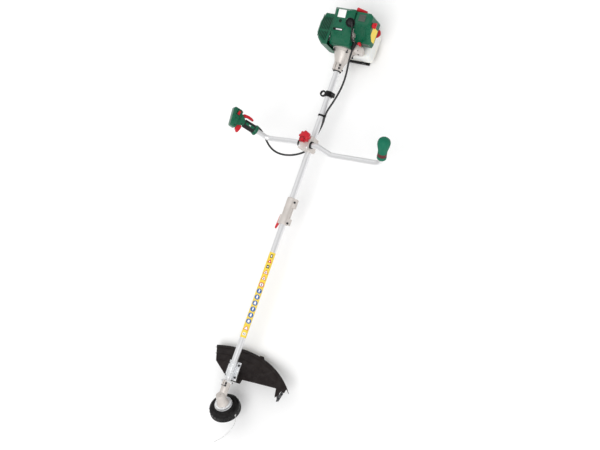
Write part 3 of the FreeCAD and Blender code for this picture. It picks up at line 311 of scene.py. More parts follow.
# ---------------------------------------------------------------- shader kit
class Wire:
    """A shader socket: arithmetic on it adds Math nodes, and node() adds any other."""

    def __init__(self, tree, socket):
        self.tree, self.socket = tree, socket

    def node(self, kind, settings=None, inputs=None, output=0):
        made = self.tree.nodes.new("ShaderNode" + kind)
        for name, value in (settings or {}).items():
            if name == "stops":
                set_stops(made.color_ramp, value)
            else:
                setattr(made, name, value)
        for name, value in (inputs or {}).items():
            if isinstance(value, Wire):
                self.tree.links.new(value.socket, made.inputs[name])
            else:
                made.inputs[name].default_value = value
        return Wire(self.tree, made.outputs[output]) if len(made.outputs) else None

    def maths(self, operation, first, second=0.0):
        return self.node("Math", {"operation": operation}, {0: first, 1: second})

    def __add__(self, other):
        return self.maths("ADD", self, other)

    def __sub__(self, other):
        return self.maths("SUBTRACT", self, other)

    def __rsub__(self, other):
        return self.maths("SUBTRACT", other, self)

    def __mul__(self, other):
        return self.maths("MULTIPLY", self, other)

    def __lt__(self, other):
        return self.maths("LESS_THAN", self, other)

    def __gt__(self, other):
        return self.maths("GREATER_THAN", self, other)

    __radd__ = __add__
    __rmul__ = __mul__


def set_stops(ramp, stops):
    ramp.elements.remove(ramp.elements[1])
    ramp.elements[0].position, ramp.elements[0].color = stops[0]
    for place, colour in stops[1:]:
        ramp.elements.new(place).color = colour


def begin(name):
    """A new material and its Object coordinates, in metres."""
    material = bpy.data.materials.new(name)
    material.use_nodes = True
    tree = material.node_tree
    tree.nodes.clear()
    return material, Wire(tree, tree.nodes.new("ShaderNodeTexCoord").outputs["Object"])


def finish(place, **surface):
    """Ends a material in one Principled surface."""
    names = {name.replace("_", " "): value for name, value in surface.items()}
    place.node("OutputMaterial", None, {"Surface": place.node("BsdfPrincipled", None, names)})


def noise(place, scale, detail=3.0, rough=0.5):
    return place.node("TexNoise", None,
                      {"Vector": place, "Scale": scale, "Detail": detail, "Roughness": rough})


def stretched(place, x, y, z):
    return place.node("Mapping", None, {"Vector": place, "Scale": (x, y, z)})


def mixed(factor, first, second):
    return factor.node("Mix", {"data_type": "RGBA"}, {0: factor, 6: first, 7: second}, 2)


def ramp(factor, low, high, dark=0.0, light=1.0):
    """The factor stretched so that low to high becomes dark to light."""
    return factor.node("MapRange", None, {"Value": factor, 1: low, 2: high, 3: dark, 4: light})


def bump(height, strength, depth):
    return height.node("Bump", None, {"Height": height, "Strength": strength, "Distance": depth})


def tone(colour, share=1.0):
    return (*[min(1.0, c * share) for c in colour], 1.0)


# ---------------------------------------------------------------- finishes
def moulded(name, colour, roughness, coat, grain, depth, shine=0.3):
    """Moulded plastic: faint flow marks, handling smudges and a fine surface grain."""
    material, place = begin(name)
    flow = ramp(noise(place, 9, 4), 0.3, 0.7)
    smudge = ramp(noise(place, 38, 5, 0.6), 0.42, 0.72)
    fine = noise(place, grain, 2)
    shade = mixed(flow, tone(colour, 0.86), tone(colour, 1.12))
    dusty = mixed(smudge * 0.025, shade, (0.62, 0.60, 0.56, 1.0))
    finish(place, Base_Color=dusty, Roughness=smudge * 0.16 + roughness, Normal=bump(fine, 0.35, depth),
           Coat_Weight=coat, Coat_Roughness=0.15, Specular_IOR_Level=shine)
    return material


def metal(name, colour, roughness, metallic, grain, depth, cloud=0.10):
    """Metal with a cloudy tone, small pits and a grain of its own size."""
    material, place = begin(name)
    clouds = ramp(noise(place, 24, 4), 0.3, 0.7)
    pits = place.node("TexVoronoi", None, {"Vector": place, "Scale": grain})
    fine = noise(place, grain * 0.8, 3)
    shade = mixed(clouds, tone(colour, 1 - cloud), tone(colour, 1 + cloud * 0.6))
    finish(place, Base_Color=shade, Metallic=metallic, Roughness=clouds * 0.10 + roughness,
           Normal=bump(fine + pits * 0.5, 0.4, depth))
    return material


def drawn_tube(name, colour, roughness):
    """Drawn and anodised tube: fine lines along it and faint rub marks round it."""
    material, place = begin(name)
    lines = noise(stretched(place, 6, 900, 900), 1.0, 4, 0.6)
    rubs = ramp(noise(stretched(place, 90, 8, 8), 1.0, 3), 0.55, 0.75)
    shade = mixed(ramp(lines, 0.35, 0.65), tone(colour, 0.92), tone(colour, 1.04))
    finish(place, Base_Color=mixed(rubs * 0.22, shade, tone(colour, 0.8)), Metallic=0.65,
           Roughness=rubs * 0.10 + roughness, Normal=bump(lines, 0.15, 0.00002))
    return material


def brushed(name, colour, roughness):
    """Ground steel: close scratches in one direction with stray ones across."""
    material, place = begin(name)
    lay = noise(stretched(place, 1400, 40, 1400), 1.0, 3, 0.7)
    stray = ramp(noise(stretched(place, 60, 1600, 60), 1.0, 2), 0.62, 0.70)
    shade = mixed(lay, tone(colour, 0.82), tone(colour, 1.1))
    finish(place, Base_Color=shade, Metallic=1.0, Roughness=lay * 0.18 + stray * 0.15 + roughness,
           Normal=bump(lay + stray, 0.3, 0.00004))
    return material


def zinc_plate():
    """Bright zinc: bluish and straw patches over a smooth sheet."""
    material, place = begin("bright_zinc")
    patch = ramp(noise(place, 45, 4, 0.6), 0.35, 0.65)
    warm = ramp(noise(place, 17, 2), 0.45, 0.7)
    cool = mixed(patch, (0.74, 0.75, 0.77, 1), (0.90, 0.91, 0.93, 1))
    finish(place, Base_Color=mixed(warm * 0.3, cool, (0.80, 0.76, 0.62, 1)), Metallic=0.6,
           Roughness=patch * 0.14 + 0.20, Normal=bump(noise(place, 260, 3), 0.2, 0.00008))
    return material


def rubber(name, colour):
    """Matt rubber, greyed where hands and dust reach it, with fine moulded pimples."""
    material, place = begin(name)
    bloom = ramp(noise(place, 60, 5, 0.65), 0.45, 0.75)
    pimples = place.node("TexVoronoi", None, {"Vector": place, "Scale": 620.0})
    fine = noise(place, 900, 2)
    shade = mixed(bloom * 0.3, tone(colour), tone([c * 0.9 + 0.03 for c in colour]))
    finish(place, Base_Color=shade, Roughness=bloom * 0.12 + 0.62, Specular_IOR_Level=0.3,
           Normal=bump(pimples * 0.6 + fine * 0.5, 0.4, 0.00015))
    return material


def cable_sheath():
    """Black extruded sheath with a slow ripple and scuffs."""
    material, place = begin("cable_sheath")
    ripple = noise(place, 140, 2)
    scuff = ramp(noise(place, 85, 5, 0.7), 0.6, 0.74)
    shade = mixed(scuff * 0.5, (0.010, 0.010, 0.011, 1), (0.06, 0.06, 0.06, 1))
    finish(place, Base_Color=shade, Roughness=scuff * 0.25 + 0.38, Normal=bump(ripple, 0.3, 0.0002))
    return material


def tank_plastic():
    """Milky blow-moulded polyethylene with waves in its wall and a darker fuel stain low down."""
    material, place = begin("tank_plastic")
    height = place.node("SeparateXYZ", None, {"Vector": place}, 2)
    low = 1 - ramp(height, 0.030, 0.060)
    waves = noise(place, 26, 3)
    grain = noise(place, 700, 2)
    milk = mixed(waves, (0.80, 0.80, 0.75, 1), (0.90, 0.90, 0.87, 1))
    stained = mixed(low * 0.35, milk, (0.80, 0.68, 0.42, 1))
    finish(place, Base_Color=stained, Roughness=waves * 0.1 + 0.34,
           Normal=bump(waves + grain * 0.1, 0.25, 0.0012), Subsurface_Weight=0.35,
           Subsurface_Scale=0.01, Subsurface_Radius=(1.0, 0.9, 0.7))
    return material


def nylon_line():
    material, place = begin("line_nylon")
    twist = noise(stretched(place, 200, 200, 200), 1.0, 2)
    finish(place, Base_Color=mixed(twist, (0.74, 0.75, 0.73, 1), (0.92, 0.92, 0.90, 1)),
           Roughness=twist * 0.15 + 0.18, Transmission_Weight=0.35, IOR=1.53)
    return material


def foam_sheet():
    material, place = begin("foam")
    cells = place.node("TexVoronoi", None, {"Vector": place, "Scale": 480.0})
    shade = mixed(cells, (0.03, 0.03, 0.03, 1), (0.16, 0.16, 0.15, 1))
    finish(place, Base_Color=shade, Roughness=0.95, Normal=bump(cells, 0.9, 0.0008))
    return material


def printed(name, colour, ink=None, gloss=0.28):
    """Printed film: an even coat, faint wrinkles and, over it, an ink mask with its colour."""
    material, place = begin(name)
    wear = ramp(noise(place, 55, 4, 0.6), 0.35, 0.7)
    shade = mixed(wear, tone(colour, 0.95), tone(colour, 1.03))
    for mask, ink_colour in (ink(place) if ink else ()):
        shade = mixed(mask, shade, tone(ink_colour))
    finish(place, Base_Color=shade, Roughness=wear * 0.10 + gloss,
           Normal=bump(noise(place, 120, 2), 0.15, 0.0002))
    return material


def floor_paint():
    material, place = begin("floor")
    cloud = noise(place, 1.4, 3)
    finish(place, Base_Color=mixed(cloud, (0.95, 0.95, 0.95, 1), (0.98, 0.98, 0.98, 1)), Roughness=0.85)
    return material


# ---------------------------------------------------------------- the tube's label
LABEL = (-1204.0, -829.0)               # its two ends along the tube
LABEL_FACE = math.radians(29)           # the print faces up and to the operator's left
RED, BLACK, WHITE = (0.62, 0.03, 0.06), (0.03, 0.03, 0.03), (0.93, 0.92, 0.90)
BLUE, YELLOW = (0.03, 0.13, 0.42), (0.90, 0.66, 0.06)


def label_ink(place):
    """Round and three-cornered signs in a row along the tube, each a ring and a plain mark."""
    x = place.node("SeparateXYZ", None, {"Vector": place}, 0)
    y = place.node("SeparateXYZ", None, {"Vector": place}, 1)
    z = place.node("SeparateXYZ", None, {"Vector": place}, 2)
    across = y * math.cos(LABEL_FACE) + (z - COLLAR.z) * math.sin(LABEL_FACE)
    outward = (z - COLLAR.z) * math.cos(LABEL_FACE) - y * math.sin(LABEL_FACE)
    front = outward > 0.0

    def spot(where, radius, sideways=0.0):
        along = x - (COLLAR.x + where * MM)
        aside = across - sideways * MM
        return (along * along + aside * aside < (radius * MM) ** 2) * front

    def corner_sign(where, reach):
        along = x - (COLLAR.x + where * MM)
        sides = [(math.cos(a), math.sin(a)) for a in (math.pi, math.pi / 3, -math.pi / 3)]
        inside = front
        for a, b in sides:
            inside = inside * (along * a + across * b < reach * MM)
        return inside

    def bar(where, half_length, half_width, sideways=0.0):
        along = (x - (COLLAR.x + where * MM)).maths("ABSOLUTE", x - (COLLAR.x + where * MM))
        aside = (across - sideways * MM).maths("ABSOLUTE", across - sideways * MM)
        return (along < half_length * MM) * (aside < half_width * MM) * front

    marks = [(bar(-845, 8, 5), BLACK), (bar(-845, 5, 2), WHITE), (corner_sign(-869, 5.5), RED),
             (bar(-869, 2.5, 2), WHITE), (bar(-892, 7, 6), BLACK), (spot(-892, 3), WHITE)]
    for where in (-918, -944):
        marks += [(corner_sign(where, 6.4), RED), (corner_sign(where, 4.4), WHITE),
                  (spot(where, 2.2), BLACK)]
    marks += [(spot(-972, 10.5), RED), (spot(-972, 7.5), WHITE), (bar(-972, 5.5, 1.6), BLACK)]
    for number in range(6):
        where = -1000 - 26.5 * number
        marks += [(spot(where, 10.8), BLUE), (bar(where - 1, 4.6, 2.4 + number % 3), WHITE),
                  (spot(where + 4, 3.0), WHITE)]
    marks += [(corner_sign(-1164, 6.4), RED), (corner_sign(-1164, 4.4), WHITE),
              (bar(-1188, 6, 7), WHITE), (bar(-1188, 4.4, 1.0, 3), BLACK),
              (bar(-1188, 4.4, 1.0, -3), BLACK)]
    return marks


def make_tube_label():
    bm = bmesh.new()
    low, high = LABEL
    sleeve = [(low, TUBE_R), (low + 0.3, TUBE_R + 0.25), (high - 0.3, TUBE_R + 0.25), (high, TUBE_R),
              (high - 0.5, TUBE_R - 0.6), (low + 0.5, TUBE_R - 0.6)]
    turned(bm, sleeve, ALONG_TUBE, 64)
    film = printed("sign_label", YELLOW, label_ink)
    solid("tube_label", bm, film, "lower_shaft")


# ---------------------------------------------------------------- floor and light
FLOOR_REACH = 9.0
WORLD_STRENGTH = 0.58
LAMPS = (("key", (-2.0, -1.2, 3.4), 1.8, 45),           # name, side, strength, spread in degrees
         ("fill", (1.6, 1.4, 2.6), 0.35, 70))


def make_studio():
    bm = bmesh.new()
    bmesh.ops.create_grid(bm, x_segments=1, y_segments=1, size=FLOOR_REACH)
    mesh = bpy.data.meshes.new("floor")
    bm.to_mesh(mesh)
    bm.free()
    mesh.materials.append(floor_paint())
    floor = bpy.data.objects.new("floor", mesh)
    floor.location = (0, 0, -0.001)
    bpy.context.scene.collection.objects.link(floor)
    world = bpy.data.worlds.new("studio")
    world.use_nodes = True
    sky = world.node_tree.nodes["Background"]
    sky.inputs["Color"].default_value = (1, 1, 1, 1)
    sky.inputs["Strength"].default_value = WORLD_STRENGTH
    bpy.context.scene.world = world
    bpy.context.scene.view_settings.view_transform = "Standard"
    for name, side, strength, spread in LAMPS:
        lamp = bpy.data.lights.new(name, "SUN")
        lamp.energy, lamp.angle = strength, math.radians(spread)
        light = bpy.data.objects.new(name, lamp)
        light.rotation_euler = (-Vector(side)).to_track_quat("-Z", "Y").to_euler()
        bpy.context.scene.collection.objects.link(light)


# ---------------------------------------------------------------- finishes by slot
GREEN = (0.0, 0.100, 0.048)
FINISH = {}


def make_finishes():
    FINISH.update({
        "satin_tube": drawn_tube("satin_tube", (0.80, 0.80, 0.81), 0.28),
        "cast_alloy": metal("cast_alloy", (0.63, 0.585, 0.55), 0.42, 0.30, 520, 0.0003),
        "bright_zinc": zinc_plate(),
        "steel": brushed("steel", (0.52, 0.52, 0.53), 0.26),
        "dark_bolt": metal("dark_bolt", (0.05, 0.05, 0.055), 0.34, 0.6, 900, 0.0001, 0.3),
        "green_plastic": moulded("green_plastic", GREEN, 0.26, 0.10, 520, 0.00022),
        "red_plastic": moulded("red_plastic", (0.56, 0.006, 0.018), 0.28, 0.10, 640, 0.00016),
        "black_plastic": moulded("black_plastic", (0.005, 0.0046, 0.005), 0.30, 0.12, 420, 0.0002, 0.12),
        "guard_plastic": moulded("guard_plastic", (0.015, 0.0105, 0.0105), 0.48, 0.0, 300, 0.0008, 0.14),
        "black_rubber": rubber("black_rubber", (0.012, 0.012, 0.013)),
        "green_rubber": rubber("green_rubber", (0.0, 0.145, 0.080)),
        "collar_rubber": rubber("collar_rubber", (0.11, 0.022, 0.025)),
        "tank_plastic": tank_plastic(),
        "foam": foam_sheet(),
        "line_nylon": nylon_line(),
        "brass": metal("brass", (0.60, 0.44, 0.20), 0.32, 1.0, 700, 0.0002),
    })


def paint_frame():
    """Every CAD node takes the finish of its slot in the record."""
    slots = {part["node"]: part["material_slot"] for part in frame["record"]["subparts"]}
    for name, node in frame["nodes"].items():
        node.data.materials.clear()
        node.data.materials.append(FINISH[slots[name]])


# ---------------------------------------------------------------- engine details
SHROUD_RIDGE = (158.0, 108.0)           # x and z where the top of the shroud begins
SHROUD_SLOPE = (124.0 - 108.0) / (236.0 - 158.0)
FRONT_SLOPE = (108.0 - 92.0) / (158.0 - 118.0)


def shroud_top(x, y, proud=0.0):
    """A point on the shroud's top, in front of the ridge or behind it."""
    slope = SHROUD_SLOPE if x > SHROUD_RIDGE[0] else FRONT_SLOPE
    return Vector((x, y, SHROUD_RIDGE[1] + (x - SHROUD_RIDGE[0]) * slope + proud))


def roof_strip(bm, along, out, depth, soft, proud=0.0):
    """A strip lying on the shroud's top, from its spans in x and y."""
    (x0, x1), (y0, y1) = along, out
    corners = ((x0, y0), (x1, y0), (x1, y1), (x0, y1))
    slab(bm, [shroud_top(x, y, proud) for x, y in corners], depth, soft)


def hex_screw(bm, base, axis, radius, height):
    """A flanged hexagon head standing on a base point, with a shallow socket rim."""
    part = bmesh.new()
    flange = radius * 1.35
    turned(part, [(0, 0), (0, flange), (height * 0.2, flange * 0.96), (height * 0.25, 0)], None, 24)
    rod(part, (0, 0, height * 0.2), (0, 0, height), radius, radius * 0.97, 6)
    rod(part, (0, 0, height), (0, 0, height * 1.06), radius * 0.55, radius * 0.5, 16)
    gathered(bm, part, facing(base, axis, Vector(axis).orthogonal()))


def make_shroud_details(green, black, light, white):
    bm = bmesh.new()
    for y in (32.0, -23.0):             # ridges along both sides of the top
        for along in ((122.0, 157.5), (158.5, 232.0)):
            roof_strip(bm, along, (y - 1.6, y + 1.6), 1.6, 0.7)
    for y in (-14.0, -2.0, 10.0, 22.0):  # ribs down the front slope
        roof_strip(bm, (121.0, 140.0), (y - 1.2, y + 1.2), 1.2, 0.5)
    slab(bm, [(97, y, z) for y, z in ((-40, 62), (-40, 66), (38, 66), (38, 62))], -2.6, 0.8)
    solid("shroud_ribs", bm, green, "engine_shaft")
    bm = bmesh.new()
    hole = facing(shroud_top(186, 2, -0.4), (-SHROUD_SLOPE, 0, 1), (0, 1, 0))
    turned(bm, [(0, 3.3), (0, 7.0), (1.0, 6.4), (1.4, 5.4), (1.0, 3.6), (-2.0, 3.3)], hole, 32)
    roof_strip(bm, (146, 155), (-18, 28), 0.9, 0.35)
    solid("badge_base", bm, black, "engine_shaft")
    bm = bmesh.new()
    roof_strip(bm, (148, 153), (-15.5, 14), 0.5, 0.2, 0.85)
    solid("badge_bar", bm, light, "engine_shaft")
    bm = bmesh.new()
    roof_strip(bm, (200, 233), (-17, 20), 0.35, 0.12, 0.05)
    solid("shroud_label", bm, white, "engine_shaft")


FILTER_FACE = -126.0                    # the cover's outer face, towards the operator's left
FILTER_FRONT = ((140, 39.9), (160, 64), (188, 84.3))    # its sloping front, in x and z


def make_filter_details(green, black, yellow, grey):
    bm = bmesh.new()
    for k in range(6):                  # ribs up the sloping front
        y = -62.0 - 9.0 * k
        for first, last in zip(FILTER_FRONT, FILTER_FRONT[1:]):
            slab(bm, strip(first, last, y - 1.3, y + 1.3), 1.8, 0.6)
    block(bm, (238, -116, 12), (247.6, -58, 18), 1.0)
    block(bm, (238, -116, 66), (247.6, -58, 72), 1.0)
    solid("filter_ribs", bm, green, "engine_shaft")
    bm = bmesh.new()
    block(bm, (206, -98, 91.4), (236, -66, 92.6), 0.5)
    for k in range(6):
        block(bm, (208, -96.5 + 5.2 * k, 92.4), (234, -94.3 + 5.2 * k, 93.8), 0.5)
    emblem = facing((132.2, -96, 16), (-1, 0, 0))
    rings = [(0, 0), (0, 15), (1.2, 14.4), (1.2, 12.0), (0.7, 11.4), (0.7, 6), (1.6, 5.2), (1.6, 0)]
    turned(bm, rings, emblem, 40)
    solid("filter_grille", bm, grey, "engine_shaft")
    bm = bmesh.new()
    edge = FILTER_FACE + 0.05
    slab(bm, [(206, edge, 54), (166, edge, 52), (148, edge, 30), (148, edge, 6), (206, edge, 6)], 0.4)
    solid("filter_label", bm, yellow, "engine_shaft")


def make_ignition_lead(sheath, rubber):
    route = [(189, -50, 111), (182, -56, 114), (170, -57, 106), (154, -55, 90), (138, -53, 72),
             (126, -50, 54), (122, -44, 40), (126, -36, 31)]
    lead = as_mesh(spline("ignition_lead", [at(*p) for p in route], 3.0), sheath)
    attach(lead, "engine_shaft")
    bm = bmesh.new()
    crown = facing((190, -38, 99), (0, -0.62, 0.78), (1, 0, 0))
    turned(bm, [(7.8, 0), (7.8, 6.4), (9.0, 6.8), (10.6, 5.8), (11.4, 3.0), (11.4, 0)], crown, 32)
    for k in range(8):
        a = k * math.pi / 4
        rod(bm, crown @ Vector((9.5 * math.cos(a), 9.5 * math.sin(a), 3.0)),
            crown @ Vector((12.4 * math.cos(a), 12.4 * math.sin(a), 4.4)), 1.3, 1.1, 10)
    solid("boot_crown", bm, rubber, "engine_shaft")


def make_cover_ribs(green, black):
    bm = bmesh.new()
    for k in range(7):                  # ribs across the silencer cover's top
        y = 56.0 + 7.6 * k
        first = 92.0 + max(0.0, (y - 66) * 0.62)
        slab(bm, strip((first, 83.8), (214, 83.8), y, y + 2.6), 1.8, 0.6)
    solid("cover_ribs", bm, green, "engine_shaft")
    bm = bmesh.new()
    # black strips between the ribs: painted shade of the slot openings
    for k in range(6):
        y = 59.6 + 7.6 * k
        for first, last in ((100 + max(0.0, (y - 66) * 0.62), 140), (148, 204)):
            slab(bm, strip((first, 83.9), (last, 83.9), y, y + 2.8), 0.3)
    solid("cover_slot_shade", bm, black, "engine_shaft")


def make_engine_screws(dark, black):
    bm = bmesh.new()
    for x, y, z in ((104, -48, 44), (236, -48, 40), (236, -48, 84)):
        hex_screw(bm, (x, y, z), (0, -1, 0), 3.2, 3.6)
    for x, z in ((128, -12), (212, -12), (140, 70)):
        hex_screw(bm, (x, 47, z), (0, 1, 0), 3.2, 3.6)
    for k in range(4):
        a = math.pi / 4 + k * math.pi / 2
        hex_screw(bm, (272, 42 * math.cos(a), 42 * math.sin(a)), (1, 0, 0), 2.8, 3.0)
    solid("engine_screws", bm, dark, "engine_shaft")
    bm = bmesh.new()
    hub = facing((268.5, 0, 0), (1, 0, 0))
    turned(bm, [(0, 0), (0, 15), (3.4, 14.2), (4.2, 12), (4.2, 9.6), (3.2, 9.0), (3.2, 0)], hub, 40)
    solid("starter_badge", bm, black, "engine_shaft")


def make_castings(alloy, dark, black):
    """Clutch housing with its collar band, and the casting beside it that carries the tank."""
    bm = bmesh.new()
    bell = [(-1, 13.4), (-1, 17), (1, 18.4), (14, 19.2), (28, 20.6), (46, 26.6), (60, 32.6),
            (74, 37.6), (84, 39.6), (84, 41.2), (94, 41.2), (94, 37), (84, 36), (60, 29), (30, 16),
            (30, 13.4)]
    turned(bm, bell, ALONG_TUBE, 72)
    rib = [(16, -1.3, 19), (82, -1.3, 38.6), (94, -1.3, 41), (94, -1.3, 30), (30, -1.3, 15)]
    for k in range(6):
        slab(bm, rib, -2.6, 0.6, Matrix.Rotation(math.radians(30 + 60 * k), 4, "X"))
    block(bm, (3, -14.8, 10), (30, -1.2, 29.5), 2.2)
    block(bm, (3, 1.2, 10), (30, 12, 29.5), 2.2)
    ears(bm, (3, 12), (15, 22), (-5, 5), 2.2)
    solid("clutch_bell", bm, alloy, "engine_shaft", replaces=["clutch_housing"])
    bm = bmesh.new()
    turned(bm, [(-2.2, 13.3), (-2.2, 17.2), (-1.4, 18.2), (0.6, 18.8), (1.6, 18.4), (1.6, 16)],
           ALONG_TUBE, 64)
    solid("collar_band", bm, black, "engine_shaft")
    bm = bmesh.new()
    for y in (-1, 1):
        hex_screw(bm, (7.5, y * 21.5, 0), (0, y, 0), 2.8, 4)
    for k in range(4):
        a = math.radians(45 + 90 * k)
        hex_screw(bm, (84, 37.5 * math.cos(a), 37.5 * math.sin(a)), (-1, 0, 0), 3.4, 4.5)
    hex_screw(bm, (104, -66, 10.5), (-0.3, -0.2, 0.9), 3.2, 3)
    hex_screw(bm, (98.4, -60, -20), (-1, 0, 0), 3.2, 3)
    solid("housing_screws", bm, dark, "engine_shaft")
    bm = bmesh.new()
    slab(bm, [(98, -40, 24), (98, -40, -40), (98, -74, -40), (98, -78, -6), (98, -66, 16)], -30, 3.0)
    solid("tank_carrier", bm, alloy, "engine_shaft")


def make_tank_details(milk, black):
    bm = bmesh.new()
    (x0, y0), (x1, y1), r = (97.2, -94.8), (228.8, 72.8), 16.0
    outline = []
    corners = ((x1 - r, y1 - r), (x0 + r, y1 - r), (x0 + r, y0 + r), (x1 - r, y0 + r))
    for quarter, (x, y) in enumerate(corners):
        for step in range(6):
            a = math.radians(90 * quarter + 18 * step)
            outline.append((x + r * math.cos(a), y + r * math.sin(a)))
    pushed(bm, outline, 2.2, 0.8, Matrix.Translation((0, 0, -85)))
    solid("tank_seam", bm, milk, "engine_shaft")
    route = [(150, -78, -52), (150, -80, -40), (148, -74, -24), (146, -64, -6), (146, -50, 14),
             (146, -44, 34)]
    hose = as_mesh(spline("fuel_hose", [at(*p) for p in route], 2.6), black)
    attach(hose, "engine_shaft")


# ---------------------------------------------------------------- shaft details
def make_shaft_screws(dark, zinc):
    bm = bmesh.new()
    for x in (-367.0, -321.0):          # handlebar clamp, cap screws above and below
        for y in (-17.5, 17.5):
            if x < -340:
                hex_screw(bm, (x, y, 60), (0, 0, 1), 3.4, 3.6)
            hex_screw(bm, (x + 4 if x < -340 else x - 2, y, -17), (0, 0, -1), 3.4, 3.2)
    solid("clamp_screws", bm, zinc, "engine_shaft")
    bm = bmesh.new()
    ring = [(-1398, 13.2), (-1398, 19.2), (-1390, 18.8), (-1388, 14.6), (-1388, 13.2)]
    turned(bm, ring, ALONG_TUBE, 48)
    ears(bm, (-1401, -1391), (14, 24), (-5, 5), 1.8)     # beside the gear case's socket
    solid("socket_collar", bm, zinc, "lower_shaft")
    bm = bmesh.new()
    for y in (-1, 1):
        hex_screw(bm, (-1396, y * 23.6, 0), (0, y, 0), 2.6, 3.0)
    for x in (-1370, -1320):            # dark blocks on the guard bracket's wings: painted shade of their slots
        for y in (-22, 22):
            block(bm, (x - 4.5, y - 2.4, -11.8), (x + 4.5, y + 2.4, -10.7), 0.5)
    solid("socket_screws", bm, dark, "lower_shaft")


def make_gear_case(alloy, zinc, ring_black):
    """Angled gear case: a socket on the tube and a barrel that stands on the bright flange."""
    turn = HEAD.inverted() @ SHAFT
    bm = bmesh.new()
    socket = [(-1452, 0), (-1452, 15.5), (-1446, 16.8), (-1414, 17.2), (-1400, 18.2), (-1391, 18.4),
              (-1389, 17.2), (-1389, 13.4), (-1430, 13.4), (-1430, 0)]
    turned(bm, socket, turn @ ALONG_TUBE, 56)
    barrel = [(-26, 0), (-26, 25.5), (-23.5, 25), (-17, 20.6), (-4, 19.8), (12, 19.4), (19, 17.6),
              (21, 17), (21, 0)]
    turned(bm, barrel, None, 64)
    slab(bm, [(6, -3.6, -22), (6, -3.6, 14), (40, -3.6, 24), (38, -3.6, 2)], -7.2, 2.0)
    ears(bm, (-1414, -1392), (1, 7), (12, 27), 1.6, turn)       # the case bolts draw these together
    solid("angle_case", bm, alloy, "lower_shaft", HEAD, replaces=["gear_case"])
    bm = bmesh.new()
    flange = [(-27, 5), (-27, 32.5), (-27.8, 34.6), (-29.4, 35.2), (-30.2, 31), (-33.2, 31),
              (-33.4, 37.0), (-36.4, 38.0), (-36.6, 5)]
    turned(bm, flange, None, 80)
    solid("bright_flange", bm, zinc, "head", HEAD, replaces=["head_flange"])
    bm = bmesh.new()
    # black ring filling the groove between the flange's two bright tiers: painted shade in the groove;
    # the second ring sits under the flange
    turned(bm, [(-30.3, 28), (-30.3, 33.4), (-33.1, 34.4), (-33.1, 28)], None, 64)
    turned(bm, [(-36.7, 30), (-36.7, 41.5), (-38.2, 43.5), (-39.4, 43), (-39.4, 30)], None, 80)
    solid("flange_black_rings", bm, ring_black, "head", place=HEAD)


def make_guard(plastic):
    """Guard: a thin plate with a curved outer skirt and a hooked end behind the cutter."""
    top, depth, wall = 11.0, 36.0, 2.6
    skirt = top - depth
    reach, radius, middle = 252.0, 413.0, 39.0
    shift = reach - radius

    def arc(b, inset=0.0):
        return shift + math.sqrt((radius - inset) ** 2 - (b - middle) ** 2)

    rows = [170 - 410 * k / 56 for k in range(57)]
    front = [(118, -240), (120, -224), (96, -222), (84, -214), (126, -196), (118, -110), (108, -14),
             (111, 55), (157, 127)]
    outline = [(arc(b), b) for b in rows] + front
    bm = bmesh.new()
    pushed(bm, outline, -wall, 0.7, Matrix.Translation((0, 0, top)))
    inner = [(arc(b, wall), b) for b in reversed(rows)]
    skirt_line = [(arc(b), b) for b in rows] + inner
    pushed(bm, skirt_line, skirt - top, 0.7, Matrix.Translation((0, 0, top - 0.3)))
    for inset, first, last in ((12.0, 168, -236), (44.0, 150, -226), (76.0, 128, -214)):
        band = [first + (last - first) * k / 30 for k in range(31)]
        band = [b for b in band if arc(b, inset + 3.0) > 134]
        inner = [(arc(b, inset + 3.0), b) for b in reversed(band)]
        bead = [(arc(b, inset), b) for b in band] + inner
        pushed(bm, bead, 1.3, 0.5, Matrix.Translation((0, 0, top - 0.1)))
    edge = arc(-198) - 2                # web that stiffens the end behind the cutter
    slab(bm, [(129, -198, top - 1), (edge, -198, top - 1), (edge, -198, skirt),
              (129, -198, skirt + 10)], 2.4, 0.6)
    block(bm, (239, -62, -6), (248, -44, 12.8), 1.5)
    block(bm, (244, -58, -2), (250, -48, 7), 1.2)
    block(bm, (96, -30, -6), (158, 30, top - 0.4), 2.0)
    turn = HEAD.inverted() @ SHAFT
    slab(bm, strip((-1384, -16.2), (-1306, -16.2), -28.5, 28.5), -12, 2.0, turn)
    solid("guard_shell", bm, plastic, "lower_shaft", HEAD, replaces=["guard"])


def make_cutter(dark):
    bm = bmesh.new()
    blade = [(136, -8), (136, -29), (96, -31), (82, -16), (91, -10), (96, 6), (110, 8), (113, -8)]
    pushed(bm, blade, 1.8, 0.3, Matrix.Translation((0, -215, 0)) @ UPRIGHT)
    solid("cutter_blade", bm, dark, "lower_shaft", HEAD, replaces=["line_cutter"])


def make_head_details(black, zinc):
    bm = bmesh.new()
    turned(bm, [(-71.5, 64.8), (-72.6, 66.9), (-74.4, 66.9), (-75.6, 64.0), (-74, 62)], None, 96)
    turned(bm, [(-50.5, 57.0), (-49.0, 59.8), (-49.8, 62.6), (-52.2, 63.4), (-53, 60)], None, 96)
    for k in range(24):
        turn = Matrix.Rotation(k * math.pi / 12, 4, "Z")
        block(bm, (62.5, -1.3, -70.5), (66.2, 1.3, -54.5), 0.7, turn)
    solid("head_rims", bm, black, "head", place=HEAD)
    bm = bmesh.new()
    height, forward, left = LINE_POINTS[0]
    start = Vector((-forward, -left, height))
    height, forward, left = LINE_POINTS[1]
    toward = (Vector((-forward, -left, height)) - start).normalized()
    eyelet = [(0, 1.6), (0, 2.9), (5.2, 2.9), (5.2, 4.4), (6.6, 4.0), (6.9, 2.4), (6.0, 1.6)]
    seat = facing(start + toward * 5.4, toward)
    for turn in (0, math.pi):
        spin = Matrix.Rotation(turn, 4, "Z")
        turned(bm, eyelet, spin @ seat, 24)
    solid("line_eyelets", bm, zinc, "head", place=HEAD)


